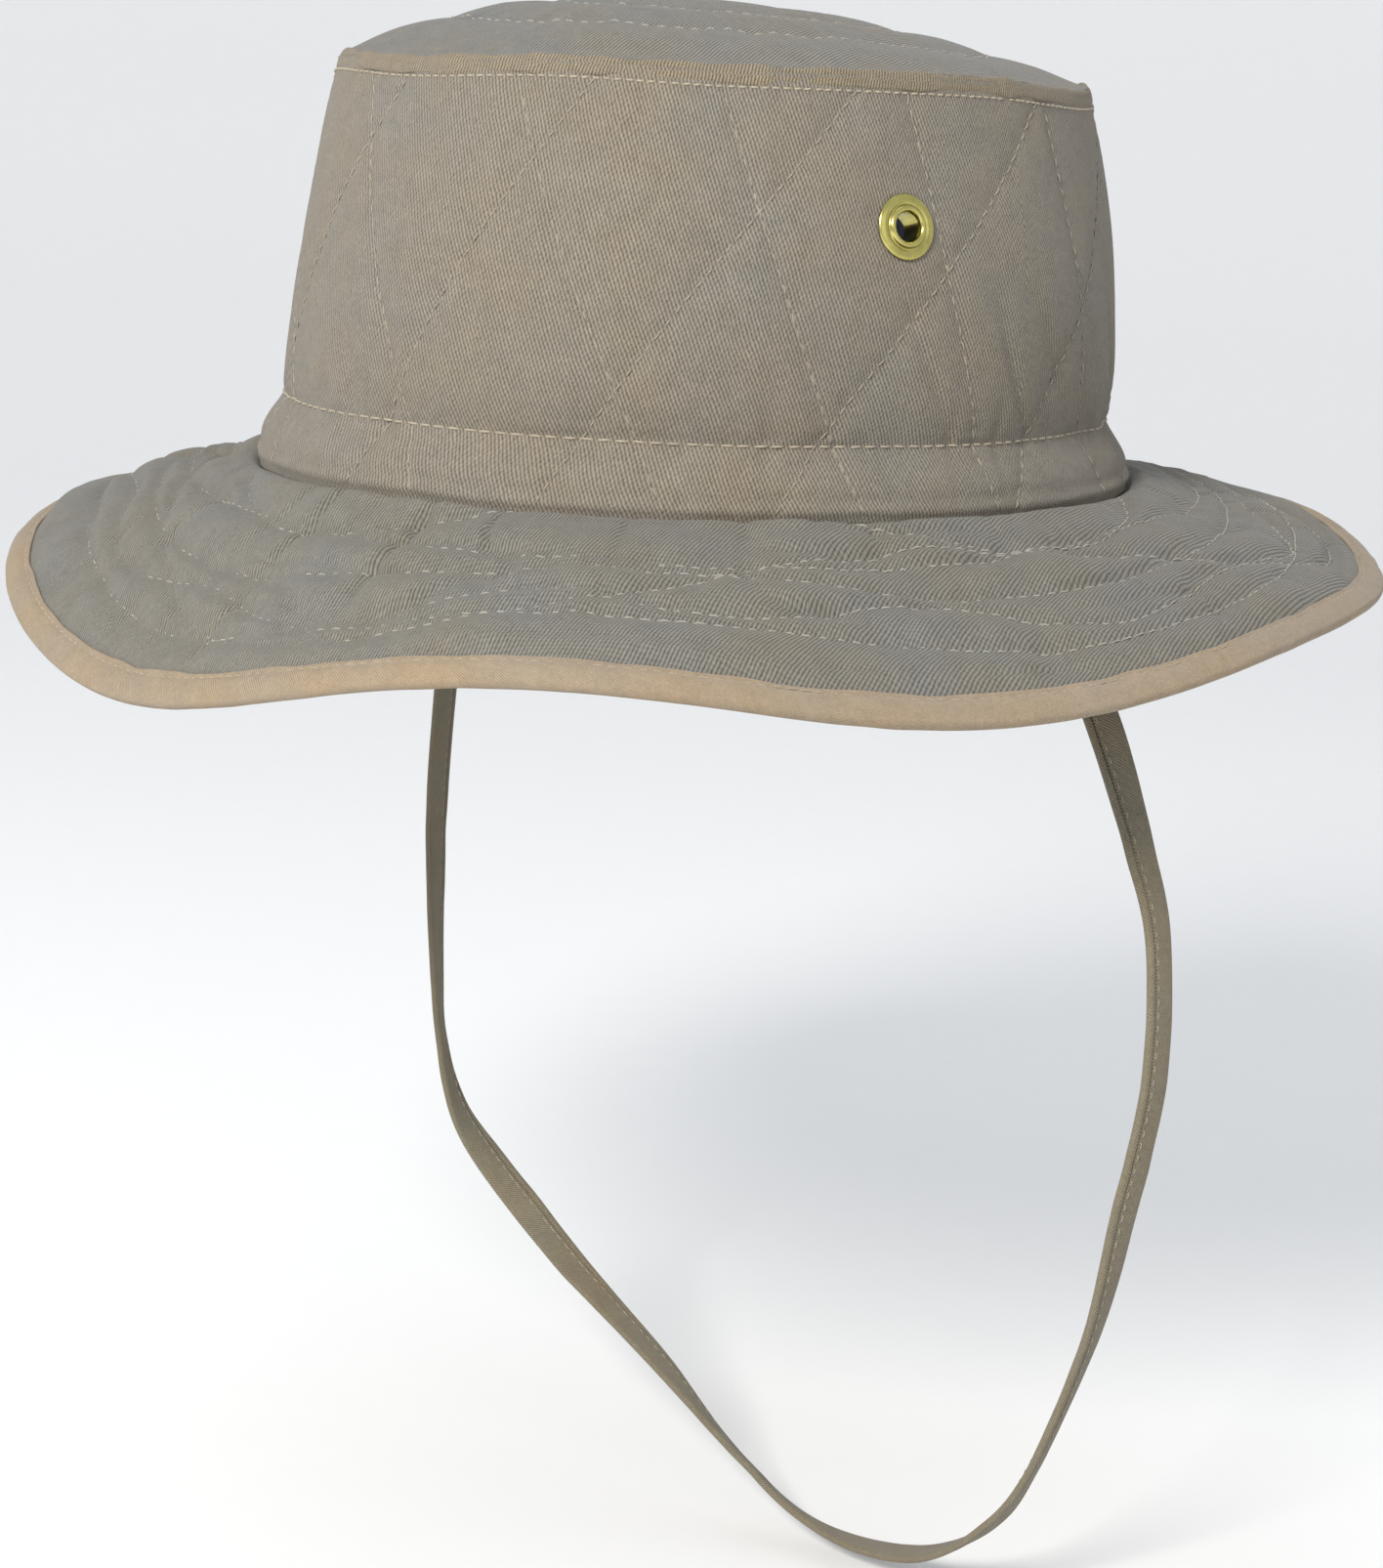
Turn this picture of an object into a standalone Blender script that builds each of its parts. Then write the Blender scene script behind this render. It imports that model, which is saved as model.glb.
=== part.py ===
"""Boonie hat: a quilted soft crown and brim, two brass eyelets and a hanging chin strap.

World frame in metres: +Z up, front of the hat towards -Y, wearer's left towards +X.
The origin is the middle of the head opening, in the plane where crown and brim meet.
Every fabric layer is its own closed solid; neighbouring layers stand GAP apart.
"""

import math

import bmesh
import bpy
from mathutils import Matrix, Vector

MM = 0.001

# Plan shape. Radii below are half widths across X; Y half widths are ASPECT times longer.
ASPECT = 1.1705
STATIONS = 36

# Crown wall: outer half width across X at each height (mm).
WALL_HEIGHTS = (-1.0, 4.0, 14.2, 24.0, 50.0, 74.0, 86.2)
WALL_RADII = (92.2, 92.6, 87.7, 88.2, 86.6, 81.8, 78.8)

# Fabric build-up (mm).
GAP = 0.3
SHELL = 0.6
BATTING = 1.4
LINING = 0.4
BAND = 1.2
TAPE = 0.5
THREAD = 0.5

# Crown top: a soft dome with its highest point pushed to one side (mm).
TOP_RIM_Z = 88.2
TOP_RIM_RADIUS = 78.0
TOP_RISE = 15.5
TOP_POWER = 2.3
TOP_SKEW = 0.28
TOP_SKEW_AZIMUTH = math.radians(220.0)
TOP_RINGS = (1.0, 0.86, 0.62, 0.32)
TOP_GAP = 0.45

# Folded edge standing at the top seam (mm).
FOLD_LOW = 86.7
FOLD_HIGH = 89.8
FOLD_INNER = 78.5
FOLD_OUTER = 79.8

# Brim: measured down its slope, with the droop changing round the head (mm, degrees).
BRIM_BASE = 91.5
BRIM_START = 2.3
BRIM_WIDTH = 63.6
BRIM_DROP = 2.0
BRIM_MEAN_SLOPE = 21.8
BRIM_WAVES = ((1, 5.94, 93.2), (2, 6.73, 149.7), (3, 7.38, -1.5), (4, 0.55, -52.0), (5, 4.54, 141.6))
BRIM_STRAIGHT = 0.45
BRIM_BATTING = 1.6
BINDING_WIDTH = 6.6
BINDING_SKIN = 0.6

# Sweatband, tapes and stitch rows (mm).
SWEATBAND_LOW = -0.8
SWEATBAND_HIGH = 31.0
TOP_TAPE_LOW = 74.0
TOP_TAPE_HIGH = 83.0
BASE_TAPE_Z = -1.5
BAND_STITCH_Z = 14.2
TOP_STITCH_Z = 83.4
BRIM_STITCH_ROWS = (("inner", 0.26), ("middle", 0.50), ("outer", 0.72))

# Eyelets, one on each side of the crown (mm, degrees).
EYELET_ANGLE = -20.1
EYELET_Z = 59.0
EYELET_HOLE = 3.0
EYELET_TUBE = 3.8
EYELET_FLANGE = 6.85
EYELET_LIP = 0.7
EYELET_SIDES = 20
FABRIC_HOLE = 4.3

# Chin strap: flat folded tape hanging in one loop (mm, degrees).
STRAP_WIDTH = 8.0
STRAP_THICK = 1.8
STRAP_Y = 12.0
STRAP_STEPS = 2
STRAP_ROUTE = (
    # X, Z and twist away from lying flat across Y
    (-83.5, -10.0, 0), (-88.0, -38.0, 0), (-91.5, -70.3, -6), (-93.0, -104.0, -11),
    (-91.0, -140.0, -27), (-88.5, -159.8, -34), (-81.6, -177.1, -15), (-70.8, -187.5, 22),
    (-55.3, -198.4, 38), (-39.5, -208.9, 20), (-23.8, -217.7, 3), (-8.1, -226.5, -9),
    (7.0, -236.3, -29), (22.6, -245.2, -36), (38.3, -251.7, -28), (57.1, -253.1, -5),
    (76.5, -248.7, 6), (93.1, -236.1, -2), (103.5, -219.0, 13), (115.8, -185.3, 8),
    (122.3, -152.9, -7), (127.2, -121.3, -5), (125.3, -90.5, -3), (118.6, -70.6, -15),
    (108.5, -48.0, -36), (96.0, -27.0, -20), (84.0, -10.0, 0),
)
ANCHOR_LOW = -2.0
ANCHOR_HIGH = 9.0
ANCHOR_X = 83.3
ANCHOR_THICK = 1.6

MATERIALS = {
    "crown_twill": (0.30, 0.26, 0.19),
    "brim_twill": (0.25, 0.23, 0.18),
    "tan_binding": (0.42, 0.34, 0.22),
    "navy_lining": (0.03, 0.04, 0.07),
    "batting_wadding": (0.75, 0.74, 0.70),
    "sweatband_cotton": (0.24, 0.20, 0.14),
    "tan_thread": (0.50, 0.41, 0.27),
    "eyelet_brass": (0.62, 0.52, 0.27),
    "strap_twill": (0.17, 0.16, 0.12),
}


def clear_scene():
    for item in list(bpy.data.objects):
        bpy.data.objects.remove(item, do_unlink=True)


def material(name):
    known = bpy.data.materials.get(name)
    if known:
        return known
    made = bpy.data.materials.new(name)
    made.use_nodes = True
    shader = made.node_tree.nodes["Principled BSDF"]
    shader.inputs["Base Color"].default_value = (*MATERIALS[name], 1.0)
    shader.inputs["Metallic"].default_value = 1.0 if name == "eyelet_brass" else 0.0
    shader.inputs["Roughness"].default_value = 0.3 if name == "eyelet_brass" else 0.9
    return made


def finish(name, bm, slot, smooth=True):
    """Turn a bmesh in millimetres into a named object in metres with outward faces."""
    bmesh.ops.recalc_face_normals(bm, faces=bm.faces)
    bmesh.ops.scale(bm, vec=Vector((MM, MM, MM)), verts=bm.verts)
    mesh = bpy.data.meshes.new(name)
    bm.to_mesh(mesh)
    bm.free()
    for face in mesh.polygons:
        face.use_smooth = smooth
    made = bpy.data.objects.new(name, mesh)
    made.data.materials.append(material(slot))
    bpy.context.scene.collection.objects.link(made)
    return made


def station_angles():
    return [2.0 * math.pi * j / STATIONS for j in range(STATIONS)]


def on_ellipse(radius, angle, z):
    return Vector((radius * math.cos(angle), radius * ASPECT * math.sin(angle), z))


def outward(angle):
    """Unit normal of the plan ellipse at an ellipse parameter."""
    return Vector((ASPECT * math.cos(angle), math.sin(angle), 0.0)).normalized()


def loft_ring(name, section, slot):
    """Sweep a closed section round the hat.

    section(angle) gives the points in order. Every four-cornered patch is split along the
    diagonal that leans outwards, so neighbouring layers stay parallel.
    """
    bm = bmesh.new()
    rings = [[bm.verts.new(p) for p in section(angle)] for angle in station_angles()]
    count = len(rings[0])
    for j, ring in enumerate(rings):
        after = rings[(j + 1) % STATIONS]
        for k in range(count):
            m = (k + 1) % count
            if ring[k].co.xy.length < ring[m].co.xy.length:
                bm.faces.new((ring[k], ring[m], after[m]))
                bm.faces.new((ring[k], after[m], after[k]))
            else:
                bm.faces.new((ring[k], ring[m], after[k]))
                bm.faces.new((ring[m], after[m], after[k]))
    return finish(name, bm, slot)


def wall_radius(z):
    """Outer half width of the crown wall at a height, straight between its rows."""
    heights = WALL_HEIGHTS
    if z <= heights[0]:
        return WALL_RADII[0]
    for low in range(len(heights) - 1):
        if z <= heights[low + 1]:
            part = (z - heights[low]) / (heights[low + 1] - heights[low])
            return WALL_RADII[low] + part * (WALL_RADII[low + 1] - WALL_RADII[low])
    return WALL_RADII[-1]


def wall_rows(low, high):
    inner = [z for z in WALL_HEIGHTS if low + 0.5 < z < high - 0.5]
    return [low, *inner, high]


def wall_layer(name, slot, depth, thick, low, high):
    """One layer of the crown wall, its outer face `depth` inside the wall surface."""
    rows = wall_rows(low, high)

    def section(angle):
        outer = [on_ellipse(wall_radius(z) - depth, angle, z) for z in rows]
        inner = [on_ellipse(wall_radius(z) - depth - thick, angle, z) for z in reversed(rows)]
        return outer + inner

    return loft_ring(name, section, slot)


def plan_ring(name, slot, points):
    """A ring whose (radius, height) section is the same all round."""
    return loft_ring(name, lambda angle: [on_ellipse(r, angle, z) for r, z in points], slot)


def dome_height(share, angle):
    """Height above the rim at a share of the rim radius."""
    lean = 1.0 + TOP_SKEW * share * math.cos(angle - TOP_SKEW_AZIMUTH)
    return TOP_RISE * (1.0 - share ** TOP_POWER) * lean


def dome_layer(name, slot, depth, thick, rim_radius):
    """A domed disc, top face `depth` below the outer top surface."""
    bm = bmesh.new()
    faces = []
    for drop in (depth, depth + thick):
        rings = []
        for share in TOP_RINGS:
            ring = []
            for angle in station_angles():
                z = TOP_RIM_Z + dome_height(share, angle) - drop
                ring.append(bm.verts.new(on_ellipse(rim_radius * share, angle, z)))
            rings.append(ring)
        middle = bm.verts.new((0.0, 0.0, TOP_RIM_Z + dome_height(0.0, 0.0) - drop))
        faces.append(rings)
        for j in range(STATIONS):
            m = (j + 1) % STATIONS
            for outer, inner in zip(rings, rings[1:]):
                bm.faces.new((outer[j], outer[m], inner[m]))
                bm.faces.new((outer[j], inner[m], inner[j]))
            bm.faces.new((rings[-1][j], rings[-1][m], middle))
    top, under = faces[0][0], faces[1][0]
    for j in range(STATIONS):
        m = (j + 1) % STATIONS
        bm.faces.new((top[j], top[m], under[m]))
        bm.faces.new((top[j], under[m], under[j]))
    return finish(name, bm, slot)


def brim_slope(angle):
    waves = sum(size * math.cos(n * angle + math.radians(turn)) for n, size, turn in BRIM_WAVES)
    return math.radians(BRIM_MEAN_SLOPE + waves)


def brim_curve(angle, share):
    """Distance out and height of the brim's top surface, share 0 at the crown and 1 at the edge."""
    slope = brim_slope(angle)
    reach = BRIM_WIDTH * math.cos(slope)
    fall = -BRIM_WIDTH * math.sin(slope) - BRIM_DROP
    out = BRIM_START + share * (reach - BRIM_START)
    bend = out / reach
    return out, fall * (BRIM_STRAIGHT * bend + (1.0 - BRIM_STRAIGHT) * bend * bend)


def brim_point(angle, share, lift, past=0.0):
    """A point `lift` above the top surface and `past` further out along the slope."""
    step = 0.01
    out, z = brim_curve(angle, share)
    out_before, z_before = brim_curve(angle, share - step)
    out_after, z_after = brim_curve(angle, share + step)
    along = Vector((out_after - out_before, z_after - z_before)).normalized()
    place = Vector((out, z)) + past * along + lift * Vector((-along.y, along.x))
    base = on_ellipse(BRIM_BASE, angle, 0.0)
    return base + outward(angle) * place.x + Vector((0.0, 0.0, place.y))


BRIM_LAYERS_END = 1.0 - (GAP + BINDING_SKIN) / BRIM_WIDTH
BINDING_START = BRIM_LAYERS_END - BINDING_WIDTH / BRIM_WIDTH
BRIM_SHARES = (0.0, 0.30, 0.60, BINDING_START, BRIM_LAYERS_END)
BRIM_THICK = SHELL + GAP + BRIM_BATTING + GAP + SHELL


def brim_layer(name, slot, depth, thick, shares=BRIM_SHARES):
    def section(angle):
        top = [brim_point(angle, s, -depth) for s in shares]
        under = [brim_point(angle, s, -depth - thick) for s in reversed(shares)]
        return top + under

    return loft_ring(name, section, slot)


def brim_binding():
    """Tape folded round the brim edge: a C section open towards the crown."""
    skin = BINDING_SKIN
    low = -BRIM_THICK - GAP
    end = BRIM_LAYERS_END

    def section(angle):
        start = BINDING_START
        outer = [
            brim_point(angle, start, GAP + skin),
            brim_point(angle, end, GAP + skin),
            brim_point(angle, end, GAP * 0.5, GAP + skin),
            brim_point(angle, end, low + GAP * 0.5, GAP + skin),
            brim_point(angle, end, low - skin),
            brim_point(angle, start, low - skin),
        ]
        inner = [
            brim_point(angle, start, low),
            brim_point(angle, end, low),
            brim_point(angle, end, low * 0.7, GAP),
            brim_point(angle, end, low * 0.3, GAP),
            brim_point(angle, end, GAP),
            brim_point(angle, start, GAP),
        ]
        return outer + inner

    return loft_ring("brim_binding", section, "tan_binding")


def brim_thread(name, share, lift):
    half = 0.5 * THREAD / BRIM_WIDTH

    def section(angle):
        return [
            brim_point(angle, share - half, lift + THREAD),
            brim_point(angle, share + half, lift + THREAD),
            brim_point(angle, share + half, lift),
            brim_point(angle, share - half, lift),
        ]

    return loft_ring(name, section, "tan_thread")


def wall_thread(name, z):
    radius = wall_radius(z)
    ends = [(wall_radius(z - THREAD), z - THREAD), (wall_radius(z + THREAD), z + THREAD)]
    low = max(radius, ends[0][0]) + GAP
    high = max(radius, ends[1][0]) + GAP
    points = [
        (low + THREAD, z - 0.5 * THREAD),
        (high + THREAD, z + 0.5 * THREAD),
        (high, z + 0.5 * THREAD),
        (low, z - 0.5 * THREAD),
    ]
    return plan_ring(name, "tan_thread", points)


def eyelet_frame(side):
    """Placement whose local +Z points straight out of the crown wall at the eyelet."""
    angle = math.radians(EYELET_ANGLE)
    span = 8.0
    place = on_ellipse(wall_radius(EYELET_Z), angle, EYELET_Z)
    lean = (wall_radius(EYELET_Z - span) - wall_radius(EYELET_Z + span)) / (2.0 * span)
    away = (outward(angle) + Vector((0.0, 0.0, lean))).normalized()
    place.x *= side
    away.x *= side
    turn = away.to_track_quat("Z", "Y").to_matrix().to_4x4()
    return Matrix.Translation(place) @ turn


def turned(name, slot, frame, profile):
    """A ring turned about the frame's Z axis from closed (radius, height) points."""
    bm = bmesh.new()
    rings = []
    for j in range(EYELET_SIDES):
        angle = 2.0 * math.pi * j / EYELET_SIDES
        ring = []
        for radius, height in profile:
            local = Vector((radius * math.cos(angle), radius * math.sin(angle), height))
            ring.append(bm.verts.new(frame @ local))
        rings.append(ring)
    count = len(profile)
    for j, ring in enumerate(rings):
        after = rings[(j + 1) % EYELET_SIDES]
        for k in range(count):
            m = (k + 1) % count
            bm.faces.new((ring[k], ring[m], after[m], after[k]))
    return finish(name, bm, slot)


def eyelet(side, tag):
    frame = eyelet_frame(side)
    wall = SHELL + BATTING + LINING + 2.0 * GAP
    seat = 0.9
    barrel = [
        (EYELET_HOLE, seat + EYELET_LIP + 0.3),
        (EYELET_TUBE + 0.5, seat + EYELET_LIP + 0.3),
        (EYELET_FLANGE, seat),
        (EYELET_FLANGE - 0.3, seat - 0.35),
        (EYELET_TUBE, seat - 0.1),
        (EYELET_TUBE, -wall - 1.9),
        (EYELET_HOLE, -wall - 1.9),
    ]
    turned(f"eyelet_{tag}_barrel", "eyelet_brass", frame, barrel)
    washer = [
        (EYELET_TUBE + GAP, -wall - 0.9),
        (EYELET_FLANGE, -wall - 0.9),
        (EYELET_FLANGE, -wall - 1.3),
        (EYELET_TUBE + GAP, -wall - 1.5),
    ]
    turned(f"eyelet_{tag}_washer", "eyelet_brass", frame, washer)


def cut_eyelet_holes(layers):
    for side in (1.0, -1.0):
        bm = bmesh.new()
        frame = eyelet_frame(side)
        bmesh.ops.create_cone(
            bm, cap_ends=True, segments=12, radius1=FABRIC_HOLE, radius2=FABRIC_HOLE, depth=16.0, matrix=frame
        )
        cutter = finish(f"eyelet_cutter_{'left' if side > 0 else 'right'}", bm, "navy_lining", False)
        cutter.hide_render = True
        cutter.display_type = "WIRE"
        for layer in layers:
            hole = layer.modifiers.new("eyelet_hole", "BOOLEAN")
            hole.operation = "DIFFERENCE"
            hole.solver = "EXACT"
            hole.object = cutter


def box(name, slot, low, high):
    bm = bmesh.new()
    bmesh.ops.create_cube(bm, size=1.0)
    for vert in bm.verts:
        vert.co = Vector([low[i] if vert.co[i] < 0.0 else high[i] for i in range(3)])
    return finish(name, bm, slot, False)


def curve_through(points, steps):
    """Catmull-Rom curve through the points, `steps` pieces between neighbours."""
    padded = [2.0 * points[0] - points[1], *points, 2.0 * points[-1] - points[-2]]
    made = []
    for i in range(1, len(padded) - 2):
        a, b, c, d = padded[i - 1], padded[i], padded[i + 1], padded[i + 2]
        for k in range(steps):
            t = k / steps
            made.append(
                0.5 * (2.0 * b + (c - a) * t + (2.0 * a - 5.0 * b + 4.0 * c - d) * t * t
                       + (3.0 * b - a - 3.0 * c + d) * t ** 3)
            )
    made.append(points[-1])
    return made


def chin_strap():
    """Flat tape along the route; twist 0 keeps its width along Y."""
    path = curve_through([Vector((x, STRAP_Y, z)) for x, z, _ in STRAP_ROUTE], STRAP_STEPS)
    twists = [v.x for v in curve_through([Vector((t, 0.0, 0.0)) for _, _, t in STRAP_ROUTE], STRAP_STEPS)]
    bm = bmesh.new()
    rings = []
    for i, place in enumerate(path):
        along = (path[min(i + 1, len(path) - 1)] - path[max(i - 1, 0)]).normalized()
        side = Vector((0.0, 1.0, 0.0))
        face = along.cross(side)
        turn = math.radians(twists[i])
        width = side * math.cos(turn) + face * math.sin(turn)
        thick = along.cross(width)
        half_w = 0.5 * STRAP_WIDTH * width
        half_t = 0.5 * STRAP_THICK * thick
        corners = (half_w + half_t, half_t - half_w, -half_w - half_t, half_w - half_t)
        rings.append([bm.verts.new(place + corner) for corner in corners])
    for ring, after in zip(rings, rings[1:]):
        for k in range(4):
            m = (k + 1) % 4
            bm.faces.new((ring[k], ring[m], after[m], after[k]))
    bm.faces.new(rings[0])
    bm.faces.new(rings[-1])
    return finish("chin_strap", bm, "strap_twill", False)


def build_crown():
    batting = SHELL + GAP
    lining = batting + BATTING + GAP
    inside = lining + LINING + GAP
    layers = [
        wall_layer("crown_side_outer", "crown_twill", 0.0, SHELL, -1.0, 86.2),
        wall_layer("crown_side_batting", "batting_wadding", batting, BATTING, -1.0, 84.6),
        wall_layer("crown_side_lining", "navy_lining", lining, LINING, -1.0, 83.4),
    ]
    cut_eyelet_holes(layers)
    top_batting = SHELL + TOP_GAP
    top_lining = top_batting + BATTING + TOP_GAP
    dome_layer("crown_top_outer", "crown_twill", 0.0, SHELL, TOP_RIM_RADIUS)
    dome_layer("crown_top_batting", "batting_wadding", top_batting, BATTING, TOP_RIM_RADIUS - 0.6)
    dome_layer("crown_top_lining", "navy_lining", top_lining, LINING, TOP_RIM_RADIUS - 2.4)
    wall_layer("sweatband", "sweatband_cotton", inside, BAND, SWEATBAND_LOW, SWEATBAND_HIGH)
    wall_layer("top_seam_tape", "navy_lining", inside, TAPE, TOP_TAPE_LOW, TOP_TAPE_HIGH)
    fold = [(FOLD_OUTER, FOLD_LOW), (FOLD_OUTER - 0.4, FOLD_HIGH), (FOLD_INNER, FOLD_HIGH + 0.1), (FOLD_INNER, FOLD_LOW)]
    plan_ring("top_seam_fold", "crown_twill", fold)
    base = [(91.6, BASE_TAPE_Z), (91.6, BASE_TAPE_Z - TAPE), (88.0, BASE_TAPE_Z - TAPE), (88.0, BASE_TAPE_Z)]
    plan_ring("base_seam_tape", "tan_binding", base)
    wall_thread("band_stitch_thread", BAND_STITCH_Z)
    wall_thread("top_stitch_thread", TOP_STITCH_Z)


def build_brim():
    brim_layer("brim_top_cover", "brim_twill", 0.0, SHELL)
    brim_layer("brim_batting", "batting_wadding", SHELL + GAP, BRIM_BATTING)
    brim_layer("brim_under_cover", "brim_twill", BRIM_THICK - SHELL, SHELL)
    brim_binding()
    for tag, share in BRIM_STITCH_ROWS:
        brim_thread(f"brim_stitch_thread_{tag}", share, GAP + 0.25)
    binding_row = BINDING_START + 2.0 / BRIM_WIDTH
    brim_thread("binding_stitch_thread", binding_row, 2.0 * GAP + BINDING_SKIN + 0.25)


def build_strap():
    for side, tag in ((1.0, "left"), (-1.0, "right")):
        edges = sorted((side * (ANCHOR_X - 0.5 * ANCHOR_THICK), side * (ANCHOR_X + 0.5 * ANCHOR_THICK)))
        low = (edges[0], STRAP_Y - 0.5 * STRAP_WIDTH, ANCHOR_LOW)
        high = (edges[1], STRAP_Y + 0.5 * STRAP_WIDTH, ANCHOR_HIGH)
        box(f"strap_anchor_{tag}", "strap_twill", low, high)
    chin_strap()


clear_scene()
build_crown()
build_brim()
for eyelet_side, eyelet_tag in ((1.0, "left"), (-1.0, "right")):
    eyelet(eyelet_side, eyelet_tag)
build_strap()
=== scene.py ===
"""Boonie hat: the visual model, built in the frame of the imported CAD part.

Shapes are worked out in millimetres from the same driving dimensions as the CAD part and
turned into metres when a mesh is made. Angles round the hat are ellipse parameters.
"""

import math

import bpy
import numpy as np
from mathutils import Matrix, Vector


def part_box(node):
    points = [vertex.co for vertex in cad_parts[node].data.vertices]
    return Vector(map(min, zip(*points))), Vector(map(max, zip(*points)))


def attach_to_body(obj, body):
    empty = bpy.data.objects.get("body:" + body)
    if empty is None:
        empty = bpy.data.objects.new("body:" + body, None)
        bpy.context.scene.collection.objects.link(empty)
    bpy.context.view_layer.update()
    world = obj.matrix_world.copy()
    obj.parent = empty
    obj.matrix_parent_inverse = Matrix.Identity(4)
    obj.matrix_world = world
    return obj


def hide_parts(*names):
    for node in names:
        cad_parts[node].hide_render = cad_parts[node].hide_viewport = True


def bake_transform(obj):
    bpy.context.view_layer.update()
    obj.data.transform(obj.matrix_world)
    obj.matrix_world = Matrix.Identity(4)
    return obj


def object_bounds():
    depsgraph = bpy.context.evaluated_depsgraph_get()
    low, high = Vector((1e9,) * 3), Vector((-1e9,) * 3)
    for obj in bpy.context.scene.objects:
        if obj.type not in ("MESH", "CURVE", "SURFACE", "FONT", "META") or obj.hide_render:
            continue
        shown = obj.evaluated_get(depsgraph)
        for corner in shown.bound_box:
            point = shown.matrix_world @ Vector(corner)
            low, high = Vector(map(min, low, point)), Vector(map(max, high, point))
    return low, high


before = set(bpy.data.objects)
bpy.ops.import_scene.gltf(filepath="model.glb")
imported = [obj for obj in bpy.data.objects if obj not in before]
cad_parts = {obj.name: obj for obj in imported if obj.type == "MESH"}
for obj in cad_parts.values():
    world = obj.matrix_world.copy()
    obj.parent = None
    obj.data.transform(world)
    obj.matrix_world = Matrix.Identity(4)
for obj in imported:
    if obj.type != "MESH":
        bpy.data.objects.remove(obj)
CAD_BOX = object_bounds()

MM = 0.001
TURN = 2.0 * math.pi

# ---- driving dimensions (mm)

ASPECT = 1.1705
WALL_HEIGHTS = (-1.0, 4.0, 14.2, 24.0, 50.0, 74.0, 86.2)
WALL_RADII = (92.2, 92.6, 87.7, 88.2, 86.6, 81.8, 78.8)
WALL_THICK = 3.0
WALL_WEAVE_RADIUS = 88.0
BAND_Z = 14.2
SEAM_Z = 86.2
TOP_STITCH_Z = 84.3
FOLD_Z = 86.6
FOLD_RADIUS = 78.15
SWEATBAND_ROWS = (3.0, 28.6)
SWEATBAND_FACE = 4.5

TOP_RIM_Z = 88.2
TOP_RIM_RADIUS = 78.0
TOP_RISE = 15.5
TOP_THICK = 3.0
TOP_POWER = 2.35
TOP_SKEW = 0.24
TOP_SKEW_AZIMUTH = math.radians(220.0)

BRIM_BASE = 91.5
BRIM_START = 2.3
BRIM_WIDTH = 63.6
BRIM_DROP = 2.0
BRIM_MEAN_SLOPE = 21.8
BRIM_WAVES = ((1, 5.94, 93.2), (2, 6.73, 149.7), (3, 7.38, -1.5), (4, 0.55, -52.0), (5, 4.54, 141.6))
BRIM_STRAIGHT = 0.45
BRIM_THICK = 3.4
BINDING_WIDTH = 5.8
BRIM_END = 1.0 - 0.9 / BRIM_WIDTH
BINDING_START = BRIM_END - BINDING_WIDTH / BRIM_WIDTH

EYELET_ANGLE = math.radians(-20.1)
EYELET_Z = 59.0
EYELET_SEAT = 8.5
EYELET_CLEAR = 8.0

STRAP_Y = 12.0
STRAP_WIDTH = 8.0
STRAP_THICK = 1.8
STRAP_TURN = (0.46, 0.62)
STRAP_ROUTE = (
    # X, Z and twist away from lying flat across Y
    (-83.4, -1.0, 0), (-83.5, -10.0, 0), (-88.0, -38.0, 0), (-91.5, -70.3, -6), (-93.0, -104.0, -11),
    (-91.0, -140.0, -27), (-88.5, -159.8, -34), (-81.6, -177.1, -15), (-70.8, -187.5, 22),
    (-55.3, -198.4, 38), (-39.5, -208.9, 20), (-23.8, -217.7, 3), (-8.1, -226.5, -9),
    (7.0, -236.3, -29), (22.6, -245.2, -36), (38.3, -251.7, -28), (57.1, -253.1, -5),
    (76.5, -248.7, 6), (93.1, -236.1, -2), (103.5, -219.0, 13), (115.8, -185.3, 8),
    (122.3, -152.9, -7), (127.2, -121.3, -5), (125.3, -90.5, -3), (118.6, -70.6, -15),
    (108.5, -48.0, -36), (96.0, -27.0, -20), (84.0, -10.0, 0), (83.4, -1.0, 0),
)

# Quilting on the crown wall: (degrees at the seam, degrees at the brim) for the lines that
# are listed one by one, then the rest spread evenly over what is left of the turn.
QUILT_RISING = ((-62.0, -93.5), (-25.5, -65.5), (8.5, -37.0))
QUILT_RISING_COUNT = 11
QUILT_FALLING = ((-75.0, -49.5), (-45.7, -25.5), (-19.0, -6.0), (9.5, 20.0))
QUILT_FALLING_COUNT = 12
QUILT_BOW = 3.0
QUILT_DEPTH = 0.75
QUILT_REACH = 5.0

# Stitch rows on the brim: mean share of the width, then (waves round the hat, size, start in degrees).
BRIM_ROWS = (
    (0.05, ((4, 0.22, 93.0),)),
    (0.275, ((3, 0.055, 48.0),)),
    (0.44, ((4, 0.06, 5.0),)),
    (0.60, ((10, 0.06, 44.0), (4, 0.06, 85.0))),
    (0.71, ((4, 0.06, 5.0),)),
    (0.50, ((3, 0.30, -38.0),)),
)
TOP_ROWS = (0.72, 0.47, 0.22)
BRIM_PUFF = 2.3
BRIM_REACH = 3.6


# ---- small maths helpers

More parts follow.
